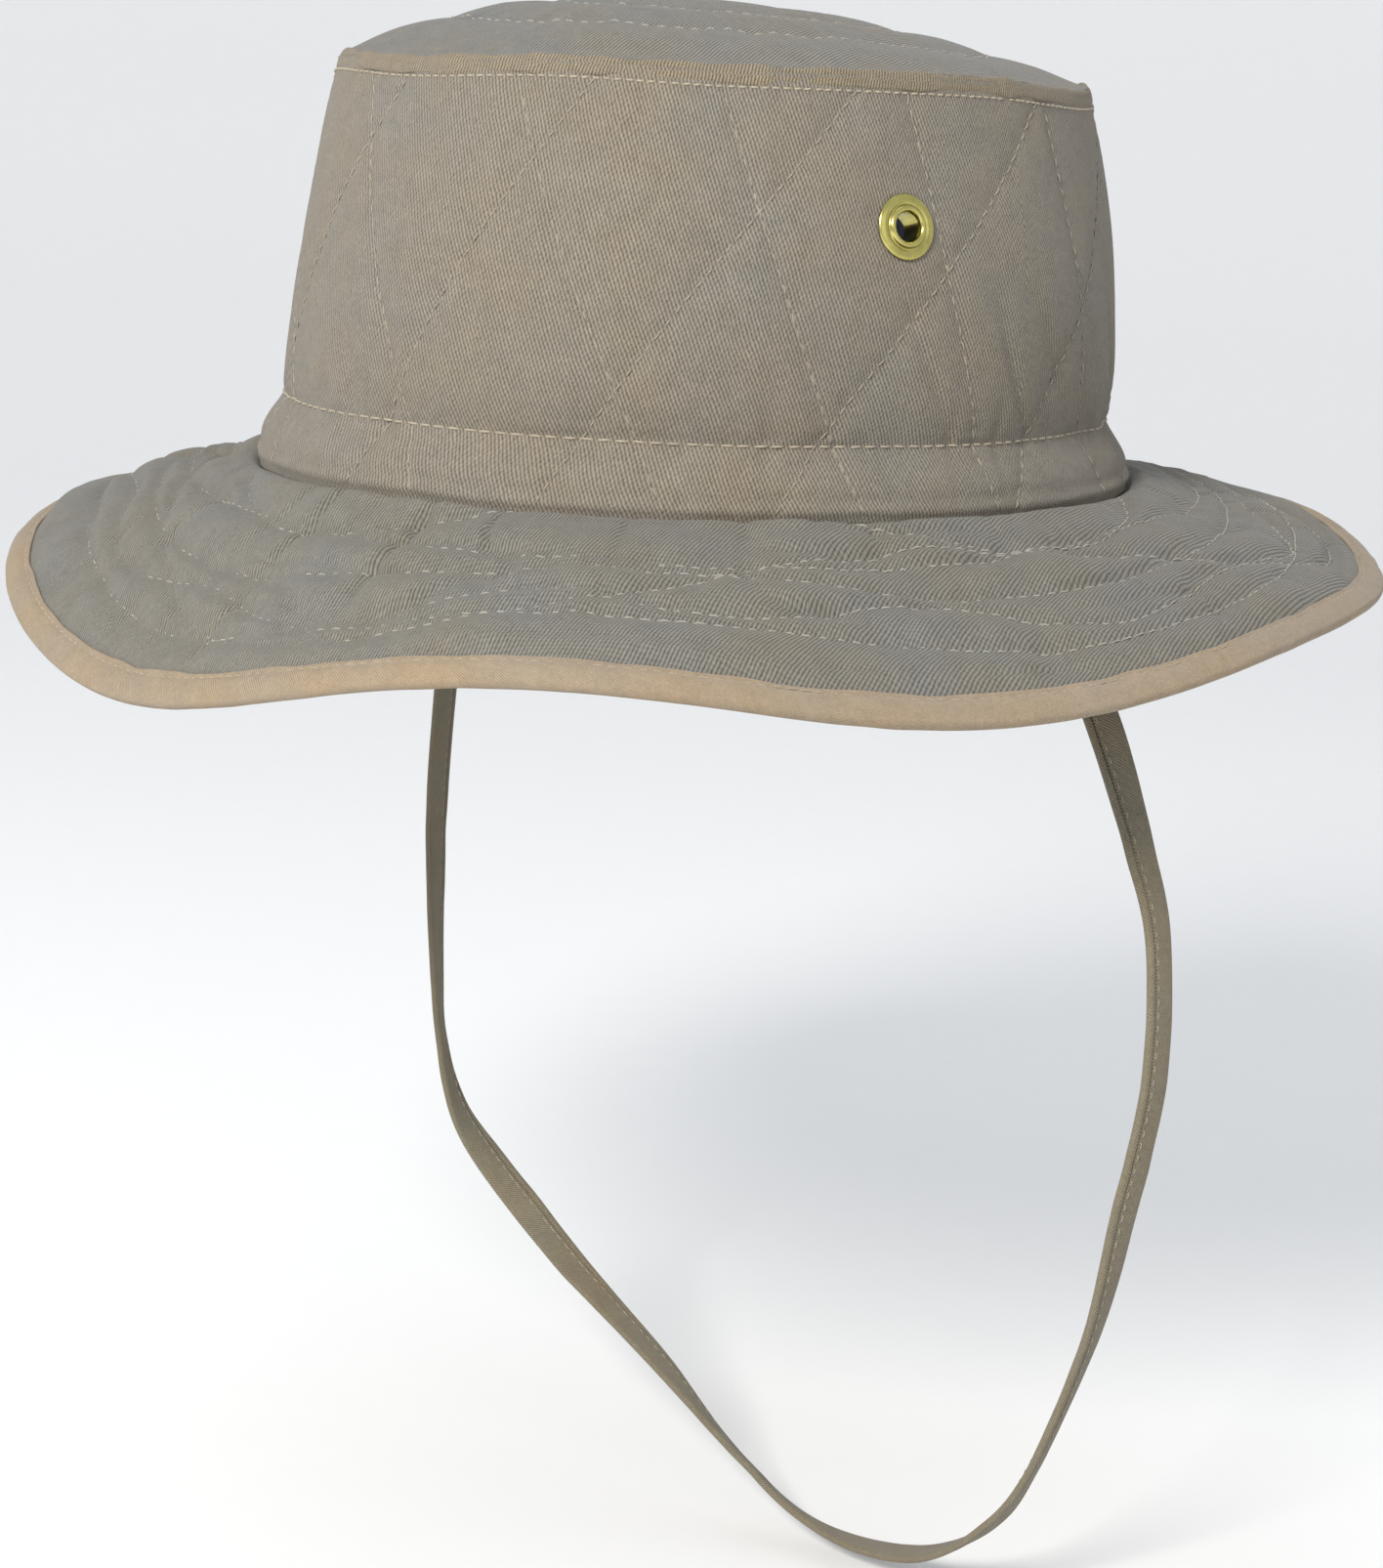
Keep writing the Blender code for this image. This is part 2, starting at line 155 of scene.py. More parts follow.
def smooth_curve(xs, ys, x):
    """Smooth cubic through the points, level where they turn, so each dip or bulge keeps its size."""
    xs = np.asarray(xs, float)
    ys = np.asarray(ys, float)
    steps = np.diff(ys) / np.diff(xs)
    slopes = np.concatenate([[steps[0]], 0.5 * (steps[1:] + steps[:-1]), [steps[-1]]])
    slopes[1:-1][steps[1:] * steps[:-1] <= 0.0] = 0.0
    x = np.clip(x, xs[0], xs[-1])
    k = np.clip(np.searchsorted(xs, x) - 1, 0, len(xs) - 2)
    h = xs[k + 1] - xs[k]
    t = (x - xs[k]) / h
    return (
        ys[k] * (1 + 2 * t) * (1 - t) ** 2
        + slopes[k] * h * t * (1 - t) ** 2
        + ys[k + 1] * t * t * (3 - 2 * t)
        + slopes[k + 1] * h * t * t * (t - 1)
    )


def noise(u, v, around, across, seed):
    """Smooth noise from -1 to 1, repeating once per unit of u; `around` and `across` cells per unit."""
    rng = np.random.default_rng(seed)
    table = rng.uniform(-1.0, 1.0, (around, 64))
    a = np.mod(u, 1.0) * around
    b = np.mod(np.asarray(v) * across, 64.0)
    i = np.floor(a).astype(int)
    j = np.floor(b).astype(int)
    fa = a - i
    fb = b - j
    fa = fa * fa * (3 - 2 * fa)
    fb = fb * fb * (3 - 2 * fb)
    i0 = i % around
    i1 = (i + 1) % around
    j0 = j % 64
    j1 = (j + 1) % 64
    low = table[i0, j0] * (1 - fa) + table[i1, j0] * fa
    high = table[i0, j1] * (1 - fa) + table[i1, j1] * fa
    return low * (1 - fb) + high * fb


def creases(u, v, around, across, seed, width):
    """Ridge lines of height 1 that wander where the noise crosses zero."""
    return np.exp(-(noise(u, v, around, across, seed) / width) ** 2)


def wrap_degrees(angle):
    return (angle + 180.0) % 360.0 - 180.0


def ellipse_normal(angle):
    nx = ASPECT * np.cos(angle)
    ny = np.sin(angle)
    size = np.hypot(nx, ny)
    return nx / size, ny / size


def offset_plan(angle, radius, out, z):
    """Points `out` mm outside a plan ellipse, measured along its normal."""
    x, y = plan(radius, angle)
    nx, ny = ellipse_normal(angle)
    return stacked(x + nx * out, y + ny * out, z)


def plan(radius, angle):
    return radius * np.cos(angle), radius * ASPECT * np.sin(angle)


def arc_rate(radius, angle):
    """Millimetres along the plan ellipse for each radian of the ellipse parameter."""
    return radius * np.hypot(np.sin(angle), ASPECT * np.cos(angle))


def turn_angles(count):
    return np.arange(count) * TURN / count


def laid_round(radius, count):
    """Millimetres along the plan ellipse at `count` even steps round the hat and at the full turn."""
    fine = np.linspace(0.0, TURN, 2001)
    rate = arc_rate(radius, fine)
    total = np.concatenate([[0.0], np.cumsum(0.5 * (rate[1:] + rate[:-1]) * np.diff(fine))])
    return np.interp(np.append(turn_angles(count), TURN), fine, total)


def run_along(path, closed=False):
    """Distance run at each point of a path; a closed one ends with the way back to its start."""
    steps = np.diff(path, axis=0, append=path[:1]) if closed else np.diff(path, axis=0)
    return np.concatenate([[0.0], np.cumsum(np.linalg.norm(steps, axis=1))])


def stacked(*parts):
    """Points or uv pairs from coordinate arrays that broadcast together."""
    return np.stack(np.broadcast_arrays(*parts), -1)


def bell(x, middle, width):
    return np.exp(-(((x - middle) / width) ** 2))


def bell_round(angle, degrees, width):
    """A bell round the hat, centred at `degrees`."""
    return bell(wrap_degrees(np.degrees(angle) - degrees), 0.0, width)


def squared(wave, power):
    """A sine or cosine pushed towards a square wave."""
    return np.sign(wave) * np.abs(wave) ** power


# ---- meshes and pieces

def make_piece(name, verts, faces, materials, face_slots=None, uv=None):
    """A mesh object in metres from millimetre points; uv is one (u, v) for each face corner."""
    mesh = bpy.data.meshes.new(name)
    verts = np.asarray(verts, float) * MM
    faces = np.asarray(faces, np.int32)
    mesh.vertices.add(len(verts))
    mesh.vertices.foreach_set("co", verts.ravel())
    corners = faces.shape[1]
    mesh.loops.add(faces.size)
    mesh.loops.foreach_set("vertex_index", faces.ravel())
    mesh.polygons.add(len(faces))
    mesh.polygons.foreach_set("loop_start", np.arange(0, faces.size, corners, dtype=np.int32))
    mesh.polygons.foreach_set("loop_total", np.full(len(faces), corners, np.int32))
    if face_slots is not None:
        mesh.polygons.foreach_set("material_index", np.asarray(face_slots, np.int32))
    mesh.polygons.foreach_set("use_smooth", np.full(len(faces), True))
    mesh.update(calc_edges=True)
    if uv is not None:
        layer = mesh.uv_layers.new(name="weave")
        layer.data.foreach_set("uv", np.asarray(uv, np.float32).ravel())
    mesh.validate()
    made = bpy.data.objects.new(name, mesh)
    bpy.context.scene.collection.objects.link(made)
    for item in materials:
        mesh.materials.append(item)
    return made


def ring_grid(points, u=0.0, v=0.0):
    """Quads of a grid closed both ways: round the hat (axis 0) and round its section (axis 1).

    u and v have one more value than points each way, so the weave doesn't jump at the joins.
    """
    count_u, count_v = points.shape[:2]
    i, j = np.meshgrid(np.arange(count_u), np.arange(count_v), indexing="ij")
    i2 = (i + 1) % count_u
    j2 = (j + 1) % count_v
    faces = np.stack([i * count_v + j, i2 * count_v + j, i2 * count_v + j2, i * count_v + j2], -1)
    uv = np.zeros((count_u + 1, count_v + 1, 2))
    uv[..., 0] = u
    uv[..., 1] = v
    corners = np.stack([uv[i, j], uv[i + 1, j], uv[i + 1, j + 1], uv[i, j + 1]], -2)
    return points.reshape(-1, 3), faces.reshape(-1, 4), corners.reshape(-1, 4, 2)


def attach(piece, slot_name, *nodes):
    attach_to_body(piece, "hat")
    if nodes:
        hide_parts(*nodes)


def tube_walls(stations, sides):
    i, k = np.meshgrid(np.arange(stations - 1), np.arange(sides), indexing="ij")
    m = (k + 1) % sides
    corners = (i * sides + k, i * sides + m, (i + 1) * sides + m, (i + 1) * sides + k)
    return np.stack(corners, -1).reshape(-1, 4)


def tube_caps(stations, sides):
    """A strip of quads across each end of a tube."""
    k = np.arange(1, sides // 2)
    cap = np.stack([sides - k, k - 1, k, sides - k - 1], -1)
    return np.concatenate([cap, cap[:, ::-1] + (stations - 1) * sides])


def catmull_rom(a, b, c, d, t):
    """Smooth step from b to c, with a and d as the points on either side."""
    square = (2 * a - 5 * b + 4 * c - d) * t * t
    return 0.5 * (2 * b + (c - a) * t + square + (3 * b - a - 3 * c + d) * t ** 3)


# ---- surfaces of the hat

def wall_radius(z):
    return smooth_curve(WALL_HEIGHTS, WALL_RADII, z)


def wall_dent(angle, z):
    """The wall's flatter back left quarter, as an outward step (negative is inward)."""
    hollow = np.sin(math.pi * np.clip((z - 15.0) / 68.0, 0.0, 1.0))
    return bell_round(angle, -138.0, 46.0) * (1.1 * bell(z, 11.0, 7.0) - 2.0 * hollow)


def seam_wave(angle):
    """How far the top seam rides above its level line: six waves, a rise in front, a dip behind."""
    front = 1.5 * bell_round(angle, -33.0, 17.0)
    back = -1.9 * bell_round(angle, -140.0, 22.0)
    return 0.9 + 0.8 * np.cos(6.0 * (angle + math.radians(66.0))) + front + back


def seam_rise(angle, z):
    """The seam's wave as it dies away down the wall."""
    return seam_wave(angle) * np.clip(z / SEAM_Z, 0.0, 1.1) ** 4


def quilt_lines(given, count):
    """(seam degrees, brim degrees) for a whole family of quilting lines."""
    first, last = given[0], given[-1]
    lines = list(given)
    extra = count - len(given)
    for k in range(1, extra + 1):
        share = k / (extra + 1)
        top = last[0] + share * (first[0] + 360.0 - last[0])
        low = last[1] + share * (first[1] + 360.0 - last[1])
        lines.append((top, low))
    return lines


RISING = quilt_lines(QUILT_RISING, QUILT_RISING_COUNT)
FALLING = quilt_lines(QUILT_FALLING, QUILT_FALLING_COUNT)


def quilt_angle(line, bow, z):
    """Degrees round the hat of a quilting line at a height."""
    t = np.clip(z / SEAM_Z, -0.05, 1.05)
    return line[1] + (line[0] - line[1]) * t - bow * 4.0 * t * (1.0 - t)


def crown_quilt_distance(angle, z):
    """Distance to the nearest quilting line and the distance run along it."""
    degrees = np.degrees(angle)
    radius = wall_radius(z)
    rate = arc_rate(radius, angle) * math.pi / 180.0
    best = np.full(np.broadcast(angle, z).shape, 1e3)
    along = np.zeros_like(best)
    for family, bow in ((RISING, QUILT_BOW), (FALLING, 0.0)):
        for line in family:
            lean = (line[0] - line[1]) / SEAM_Z * rate
            flat = 1.0 / np.sqrt(1.0 + lean * lean)
            gap = np.abs(wrap_degrees(degrees - quilt_angle(line, bow, z))) * rate * flat
            closer = gap < best
            best = np.where(closer, gap, best)
            along = np.where(closer, z / flat + 7.0 * line[0], along)
    return best, along


def eyelet_distance(angle, z):
    """Distance over the cloth to the nearer eyelet's middle."""
    rate = arc_rate(wall_radius(z), angle)
    gaps = []
    for middle in (EYELET_ANGLE, math.pi - EYELET_ANGLE):
        turn = np.radians(wrap_degrees(np.degrees(angle - middle)))
        gaps.append(np.hypot(turn * rate, z - EYELET_Z))
    return np.minimum(gaps[0], gaps[1])


def crown_offset(angle, z):
    """How far the quilted cloth stands off the plain wall surface."""
    gap, along = crown_quilt_distance(angle, z)
    u = angle / TURN
    soft = np.sqrt(gap * gap + 0.04)
    puff = QUILT_DEPTH * (1.0 - np.exp(-soft / QUILT_REACH)) - 0.20 * bell(gap, 0.0, 1.1)
    waves = np.sin(along * TURN / 3.9 + 2.0 * noise(u, z / 60.0, 40, 3, 5))
    pucker = 0.15 * np.exp(-gap / 3.2) * waves
    band = np.abs(z - BAND_Z)
    band_dip = -1.0 * np.exp(-np.sqrt(band * band + 0.25) / 1.9)
    pull = np.exp(-band / 8.0) * (1.0 - np.exp(-band / 1.2))
    gather = 0.55 * pull * noise(u, z / 90.0, 108, 2, 6)
    gather = gather - 0.7 * pull * creases(u, z / 60.0, 44, 1, 10, 0.16)
    side = bell_round(angle, 4.0, 30.0)
    drape = (0.25 + 1.1 * side) * bell(z, 22.0, 17.0) * noise(u + z * 0.0006, z / 160.0, 60, 2, 7)
    sharp = creases(u + z * 0.0009, z / 110.0, 30, 1, 11, 0.10)
    fold = -(0.30 + 0.55 * side) * bell(z, 30.0, 20.0) * sharp
    slow = 0.6 * noise(u, z / 88.0, 11, 2, 8) + 0.35 * noise(u, z / 88.0, 27, 4, 9)
    stand = puff - 0.55 + pucker + gather + drape + fold + slow
    seat = np.exp(-((eyelet_distance(angle, z) / EYELET_SEAT) ** 4))
    stand = stand * (1.0 - seat) - 0.15 * seat
    ends = np.clip((SEAM_Z - z) / 6.0, 0.0, 1.0) * np.clip((z + 1.0) / 5.0, 0.0, 1.0)
    skirt = -0.9 * bell(z, 4.0, 6.0)
    return stand * (0.35 + 0.65 * ends) + band_dip + skirt


CROWN_FOOT = -1.7


def crown_point(angle, z, lift=0.0, thick=0.0):
    """A point on the quilted wall, which rolls out at its foot; thick steps to its inner face."""
    off = crown_offset(angle, z)
    off = -thick - 0.12 * np.clip(off, -1.0, 1.0) if thick else off + lift
    roll = 1.25 * bell(z, 1.3, 1.6) + 0.75 * bell(z, CROWN_FOOT, 1.3)
    foot = np.exp(-np.clip(z - CROWN_FOOT, 0.0, 99.0) / 5.0)
    lumps = 0.25 + 0.35 * noise(angle / TURN, 0.0, 26, 1, 12)
    height = z + (seam_rise(angle, z) + lumps * foot)
    return offset_plan(angle, wall_radius(z), off + wall_dent(angle, z) + roll, height)


def dome_height(share, angle):
    lean = 1.0 + TOP_SKEW * share * np.cos(angle - TOP_SKEW_AZIMUTH)
    return TOP_RISE * (1.0 - share ** TOP_POWER) * lean


def dome_point(angle, share, lift=0.0):
    """A point on the quilted dome, from its middle (share 0) to its rim (share 1)."""
    u = angle / TURN
    gap = np.full(np.broadcast(angle, share).shape, 1e3)
    for row in (*TOP_ROWS, 1.0):
        gap = np.minimum(gap, np.abs(share - row) * TOP_RIM_RADIUS)
    puff = 1.4 * (1.0 - np.exp(-np.sqrt(gap * gap + 0.09) / 5.0)) - 0.9
    spread = np.clip(share * 2.0, 0.0, 1.0)
    pucker = 0.45 * np.exp(-gap / 5.0) * noise(u, share * 3.0, 90, 1, 21) * spread
    x, y = plan(TOP_RIM_RADIUS * share, angle)
    patches = noise(x / 400.0 + 0.5, y / 90.0, 14, 2, 22)
    rim = np.clip((1.0 - share) * 12.0, 0.0, 1.0)
    z = TOP_RIM_Z + seam_wave(angle) * share ** 2 + dome_height(share, angle)
    return stacked(x, y, z + (puff + pucker + 0.6 * patches) * rim + lift)


def brim_slope(angle):
    waves = sum(size * np.cos(n * angle + math.radians(turn)) for n, size, turn in BRIM_WAVES)
    return np.radians(BRIM_MEAN_SLOPE + waves)


def brim_curve(angle, share):
    slope = brim_slope(angle)
    reach = BRIM_WIDTH * np.cos(slope)
    fall = -BRIM_WIDTH * np.sin(slope) - BRIM_DROP
    out = BRIM_START + share * (reach - BRIM_START)
    bend = out / reach
    return out, fall * (BRIM_STRAIGHT * bend + (1.0 - BRIM_STRAIGHT) * bend * bend)


def brim_plain(angle, share, lift=0.0, past=0.0):
    """A point `lift` above the plain brim surface and `past` further out along the slope."""
    step = 0.01
    out, z = brim_curve(angle, share)
    out_a, z_a = brim_curve(angle, share - step)
    out_b, z_b = brim_curve(angle, share + step)
    run = out_b - out_a
    drop = z_b - z_a
    size = np.hypot(run, drop)
    run, drop = run / size, drop / size
    height = z + past * drop + lift * run
    return offset_plan(angle, BRIM_BASE, out + past * run - lift * drop, height)


def row_share(row, angle):
    base, waves = row
    return base + sum(size * np.cos(n * (angle + math.radians(turn))) for n, size, turn in waves)


def brim_row_distance(angle, share):
    """Distance over the cloth to the nearest stitch row."""
    gap = np.full(np.broadcast(angle, share).shape, 1e3)
    rate = arc_rate(BRIM_BASE, angle) * (1.0 + 0.6 * share)
    for row in BRIM_ROWS:
        here = row_share(row, angle)
        ahead = row_share(row, angle + 0.01)
        lean = (ahead - here) * BRIM_WIDTH / (0.01 * rate)
        gap = np.minimum(gap, np.abs(share - here) * BRIM_WIDTH / np.sqrt(1.0 + lean * lean))
    return gap


def brim_puff(angle, share):
    """Padding that swells between the stitch rows."""
    gap = brim_row_distance(angle, share)
    return BRIM_PUFF * (1.0 - np.exp(-np.sqrt(gap * gap + 0.04) / BRIM_REACH)) - 1.1


def brim_wrinkle(angle, share):
    """Puckers and short radial creases that the stitch rows pull into the cloth."""
    near = np.exp(-brim_row_distance(angle, share) / 5.0)
    u = angle / TURN
    left = 0.5 + 0.5 * np.cos(angle + math.radians(110.0))
    slant = u + share * 0.010
    pull = 0.35 + 0.65 * np.clip(0.5 + 1.6 * noise(u, share * 2.0, 21, 1, 34), 0.0, 1.0)
    radial = -(0.50 + 1.05 * left) * pull * creases(slant, share * 2.6, 50, 1, 35, 0.15)
    long = -0.75 * pull * creases(u + 0.03 * share, share * 5.5, 17, 1, 36, 0.10)
    wide = (0.40 + 0.5 * left) * noise(slant, share * 5.0, 52, 1, 31)
    fine = (0.18 + 0.22 * left) * near * noise(slant, share * 9.0, 150, 1, 32)
    tucks = 0.6 * noise(u, share * 3.0, 38, 1, 37) - 0.8 * creases(slant, share * 3.0, 40, 1, 38, 0.12)
    seam = np.exp(-share / 0.13) * tucks
    slow = 0.7 * noise(u, share, 14, 2, 33)
    return 1.1 * (radial + long + wide + fine + seam + slow) + 0.45


def brim_ends(share):
    """Fades the quilting's relief out at the crown and at the binding."""
    return np.clip(share * 12.0 + 0.12, 0.0, 1.0) * np.clip((BINDING_START - share) * 14.0, 0.0, 1.0)


def brim_point(angle, share, lift=0.0):
    """A point on the brim's top, with the welt that stands beside the crown."""
    off = brim_puff(angle, share) + brim_wrinkle(angle, share)
    welt = (0.9 + 0.5 * noise(angle / TURN, 0.0, 34, 1, 39)) * bell(share, 0.045, 0.030)
    return brim_plain(angle, share, off * brim_ends(share) + welt + lift)


def brim_depth(share):
    """Thickness of the quilted brim, less where the binding squeezes it."""
    return BRIM_THICK + 0.2 - 1.9 * np.clip((share - 0.7) / 0.22, 0.0, 1.0)


def brim_under_point(angle, share, lift=0.0):
    off = 0.8 * brim_wrinkle(angle, share) - 0.7 * brim_puff(angle, share)
    return brim_plain(angle, share, off * brim_ends(share) - brim_depth(share) - lift)


# ---- materials

def new_material(name):
    made = bpy.data.materials.new(name)
    made.use_nodes = True
    return made, made.node_tree, made.node_tree.nodes["Principled BSDF"]


def plug(tree, value, socket):
    """Link a (node, output) pair to a socket, or set the socket to a plain value."""
    if isinstance(value, tuple) and isinstance(value[0], bpy.types.Node):
        tree.links.new(value[0].outputs[value[1]], socket)
    elif isinstance(value, tuple) and socket.type == "RGBA":
        socket.default_value = (*value, 1.0)
    else:
        socket.default_value = value


def add(tree, kind, **sockets):
    """A shader node with its inputs set by name."""
    made = tree.nodes.new(kind)
    for key, value in sockets.items():
        plug(tree, value, made.inputs[key.replace("_", " ")])
    return made


def maths(tree, operation, *values, clamp=False, kind="ShaderNodeMath"):
    made = tree.nodes.new(kind)
    made.operation = operation
    if clamp:
        made.use_clamp = True
    for socket, value in zip(made.inputs, values):
        plug(tree, value, socket)
    return (made, 0)


def vector_maths(tree, operation, *values):
    return maths(tree, operation, *values, kind="ShaderNodeVectorMath")


def mix_colour(tree, factor, first, second, blend_type="MIX"):
    made = tree.nodes.new("ShaderNodeMix")
    made.data_type = "RGBA"
    made.blend_type = blend_type
    for index, value in ((0, factor), (6, first), (7, second)):
        plug(tree, value, made.inputs[index])
    return (made, 2)


def grey(tree, value):
    return (add(tree, "ShaderNodeCombineColor", Red=value, Green=value, Blue=value), "Color")


def noise_node(tree, vector, scale, detail=2.0, roughness=0.5):
    made = add(tree, "ShaderNodeTexNoise", Vector=vector, Scale=scale, Detail=detail, Roughness=roughness)
    return (made, "Fac")


def wave_node(tree, vector, pitch, wobble, turn):
    """Bands across the weave coordinates, `pitch` mm apart, running `turn` degrees from U."""
    spun = add(tree, "ShaderNodeMapping", Vector=vector, Rotation=(0.0, 0.0, math.radians(90.0 - turn)))
    made = add(
        tree, "ShaderNodeTexWave", Vector=(spun, "Vector"), Scale=TURN / (20.0 * pitch),
        Distortion=wobble, Detail=2.0, Detail_Scale=1.3,
    )
    made.wave_type = "BANDS"
    made.bands_direction = "X"
    return (made, "Fac")


def weave_vector(tree, drift):
    """Weave coordinates in millimetres, plain and drifting gently so the ribs aren't ruled lines."""
    layer = tree.nodes.new("ShaderNodeUVMap")
    layer.uv_map = "weave"
    plain = (layer, "UV")
    wander = add(tree, "ShaderNodeTexNoise", Vector=plain, Scale=0.045, Detail=2.0)
    centred = vector_maths(tree, "SUBTRACT", (wander, "Color"), (0.5, 0.5, 0.5))
    scaled = vector_maths(tree, "MULTIPLY", centred, (drift, drift, drift))
    return plain, vector_maths(tree, "ADD", plain, scaled)


def dress(tree, shader, colour, rough, bump=None, **values):
    """Wire colour, roughness and bump (height, strength, metres) into a shader; then plain values."""
    plug(tree, colour, shader.inputs["Base Color"])
    plug(tree, rough, shader.inputs["Roughness"])
    if bump:
        height, strength, distance = bump
        node = add(tree, "ShaderNodeBump", Height=height, Strength=strength, Distance=distance)
        plug(tree, (node, "Normal"), shader.inputs["Normal"])
    for key, value in values.items():
        shader.inputs[key.replace("_", " ")].default_value = value


TWILL_DRIFT = 1.4
TWILL_FUZZ = 1.3


def twill(name, rib, groove, warm, cool, pitch, turn, contrast=1.0, relief=0.00022, broken=0.15):
    """Cotton twill: ribs `broken` into short floats, fibre fuzz, and slow patches of dye."""
    made, tree, shader = new_material(name)
    plain, vector = weave_vector(tree, TWILL_DRIFT)
    ribs = wave_node(tree, vector, pitch, 1.3, turn)
    floats = wave_node(tree, vector, pitch * 1.15, 3.4, turn - 64.0)
    fibre = noise_node(tree, vector, 2.3, 3.0, 0.7)
    yarn = noise_node(tree, vector, 0.75, 3.0, 0.6)
    patch = noise_node(tree, plain, 0.035, 3.0, 0.55)
    mottle = noise_node(tree, plain, 0.19, 3.0, 0.6)

    hollow = maths(tree, "SUBTRACT", 1.0, ribs)
    rounded = maths(tree, "SUBTRACT", 1.0, maths(tree, "MULTIPLY", hollow, hollow))
    body = maths(tree, "MULTIPLY", rounded, 1.0 - broken)
    height = maths(tree, "MULTIPLY_ADD", floats, broken, body)
    fuzzy = maths(tree, "MULTIPLY_ADD", maths(tree, "SUBTRACT", fibre, 0.5), TWILL_FUZZ, height)
    level = maths(tree, "MULTIPLY_ADD", maths(tree, "SUBTRACT", fuzzy, 0.5), contrast, 0.5, clamp=True)

    tone = maths(tree, "MULTIPLY", maths(tree, "SUBTRACT", patch, 0.30), 2.3, clamp=True)
    dye = mix_colour(tree, tone, cool, warm)
    tinted = mix_colour(tree, 1.0, mix_colour(tree, level, groove, rib), dye, "MULTIPLY")
    shade = maths(tree, "MULTIPLY_ADD", mottle, 0.34, 0.83)
    yarns = maths(tree, "MULTIPLY_ADD", yarn, 0.36, 0.82)
    shaded = mix_colour(tree, 1.0, tinted, grey(tree, maths(tree, "MULTIPLY", shade, yarns)), "MULTIPLY")
    dress(
        tree, shader, shaded, maths(tree, "MULTIPLY_ADD", fibre, 0.16, 0.80), (fuzzy, 0.8, relief),
        Sheen_Weight=0.12, Sheen_Roughness=0.45, Specular_IOR_Level=0.25,
    )
    return made


def thread(name, light, dark):
    """Twisted sewing thread: fine slanted plies with dark gaps."""
    made, tree, shader = new_material(name)
    place = (tree.nodes.new("ShaderNodeNewGeometry"), "Position")
    plies = noise_node(tree, place, 2600.0)
    tone = noise_node(tree, place, 160.0)
    fade = grey(tree, maths(tree, "MULTIPLY_ADD", tone, 0.5, 0.75))
    colour = mix_colour(tree, 1.0, mix_colour(tree, plies, dark, light), fade, "MULTIPLY")
    dress(tree, shader, colour, 0.7, (plies, 0.5, 0.00008), Sheen_Weight=0.2)
    return made


def plain_weave(name, light, dark, pitch):
    """Fine plain-woven lining: two crossing sets of threads with a soft sheen."""
    made, tree, shader = new_material(name)
    plain, vector = weave_vector(tree, 3.0)
    warp = wave_node(tree, vector, pitch, 0.8, 90.0)
    weft = wave_node(tree, vector, pitch, 0.8, 0.0)
    cross = maths(tree, "MULTIPLY", maths(tree, "ADD", warp, weft), 0.5)
    slub = noise_node(tree, plain, 0.5, 3.0, 0.6)
    level = maths(tree, "MULTIPLY_ADD", cross, 0.6, maths(tree, "MULTIPLY", slub, 0.5), clamp=True)
    rough = maths(tree, "MULTIPLY_ADD", slub, 0.2, 0.6)
    dress(tree, shader, mix_colour(tree, level, dark, light), rough, (cross, 0.7, 0.00012), Sheen_Weight=0.15)
    return made


def brass(name):
    """Polished greenish brass with faint tarnish and hair scratches."""
    made, tree, shader = new_material(name)
    place = (tree.nodes.new("ShaderNodeNewGeometry"), "Position")
    tarnish = noise_node(tree, place, 420.0, 3.0)
    drawn = add(
        tree, "ShaderNodeMapping", Vector=place, Rotation=(0.4, 0.2, 0.9), Scale=(900.0, 9000.0, 900.0)
    )
    scratches = noise_node(tree, (drawn, "Vector"), 1.0)
    colour = mix_colour(tree, tarnish, (0.33, 0.295, 0.08), (0.60, 0.54, 0.19))
    rough = maths(tree, "MULTIPLY_ADD", tarnish, 0.16, 0.14)
    dress(tree, shader, colour, rough, (scratches, 0.25, 0.00003), Metallic=1.0)
    return made


def paper(name, colour):
    made, tree, shader = new_material(name)
    place = (tree.nodes.new("ShaderNodeNewGeometry"), "Position")
    shade = mix_colour(tree, noise_node(tree, place, 60.0), tuple(0.985 * c for c in colour), colour)
    dress(tree, shader, shade, 0.9, Specular_IOR_Level=0.1)
    return made


CROWN_CLOTH = twill(
    "crown_twill_cloth", rib=(0.255, 0.227, 0.187), groove=(0.086, 0.076, 0.062),
    warm=(1.0, 0.95, 0.86), cool=(0.93, 0.96, 0.99), pitch=0.80, turn=112.0, contrast=0.95, broken=0.26,
)
# The crown's twill with painted shade: its colour is greyer, cooler and darker for the dimmer, cooler light
# on the up-facing brim.
BRIM_CLOTH_PAINTED_SHADE = twill(
    "brim_twill_cloth_painted_shade", rib=(0.218, 0.206, 0.180), groove=(0.068, 0.064, 0.055),
    warm=(1.0, 0.95, 0.86), cool=(0.91, 0.95, 0.99), pitch=0.76, turn=103.0, contrast=0.88, broken=0.22,
)
# The crown's twill with painted shade: its colour is greyer and cooler for the cool light that falls on the
# up-facing top.
TOP_CLOTH_PAINTED_SHADE = twill(
    "top_twill_cloth_painted_shade", rib=(0.222, 0.211, 0.187), groove=(0.076, 0.071, 0.062),
    warm=(1.0, 0.94, 0.84), cool=(0.90, 0.95, 1.0), pitch=0.76, turn=103.0, contrast=0.95,
)
TAPE_CLOTH = twill(
    "tan_binding_cloth", rib=(0.350, 0.282, 0.203), groove=(0.165, 0.127, 0.087),
    warm=(1.0, 0.93, 0.82), cool=(0.93, 0.95, 0.98), pitch=0.42, turn=45.0, contrast=0.8, relief=0.0001,
)
FOLD_CLOTH = twill(
    "seam_fold_cloth", rib=(0.262, 0.226, 0.172), groove=(0.092, 0.077, 0.058),
    warm=(1.0, 0.93, 0.80), cool=(0.96, 0.96, 0.94), pitch=0.7, turn=78.0, contrast=1.1,
)
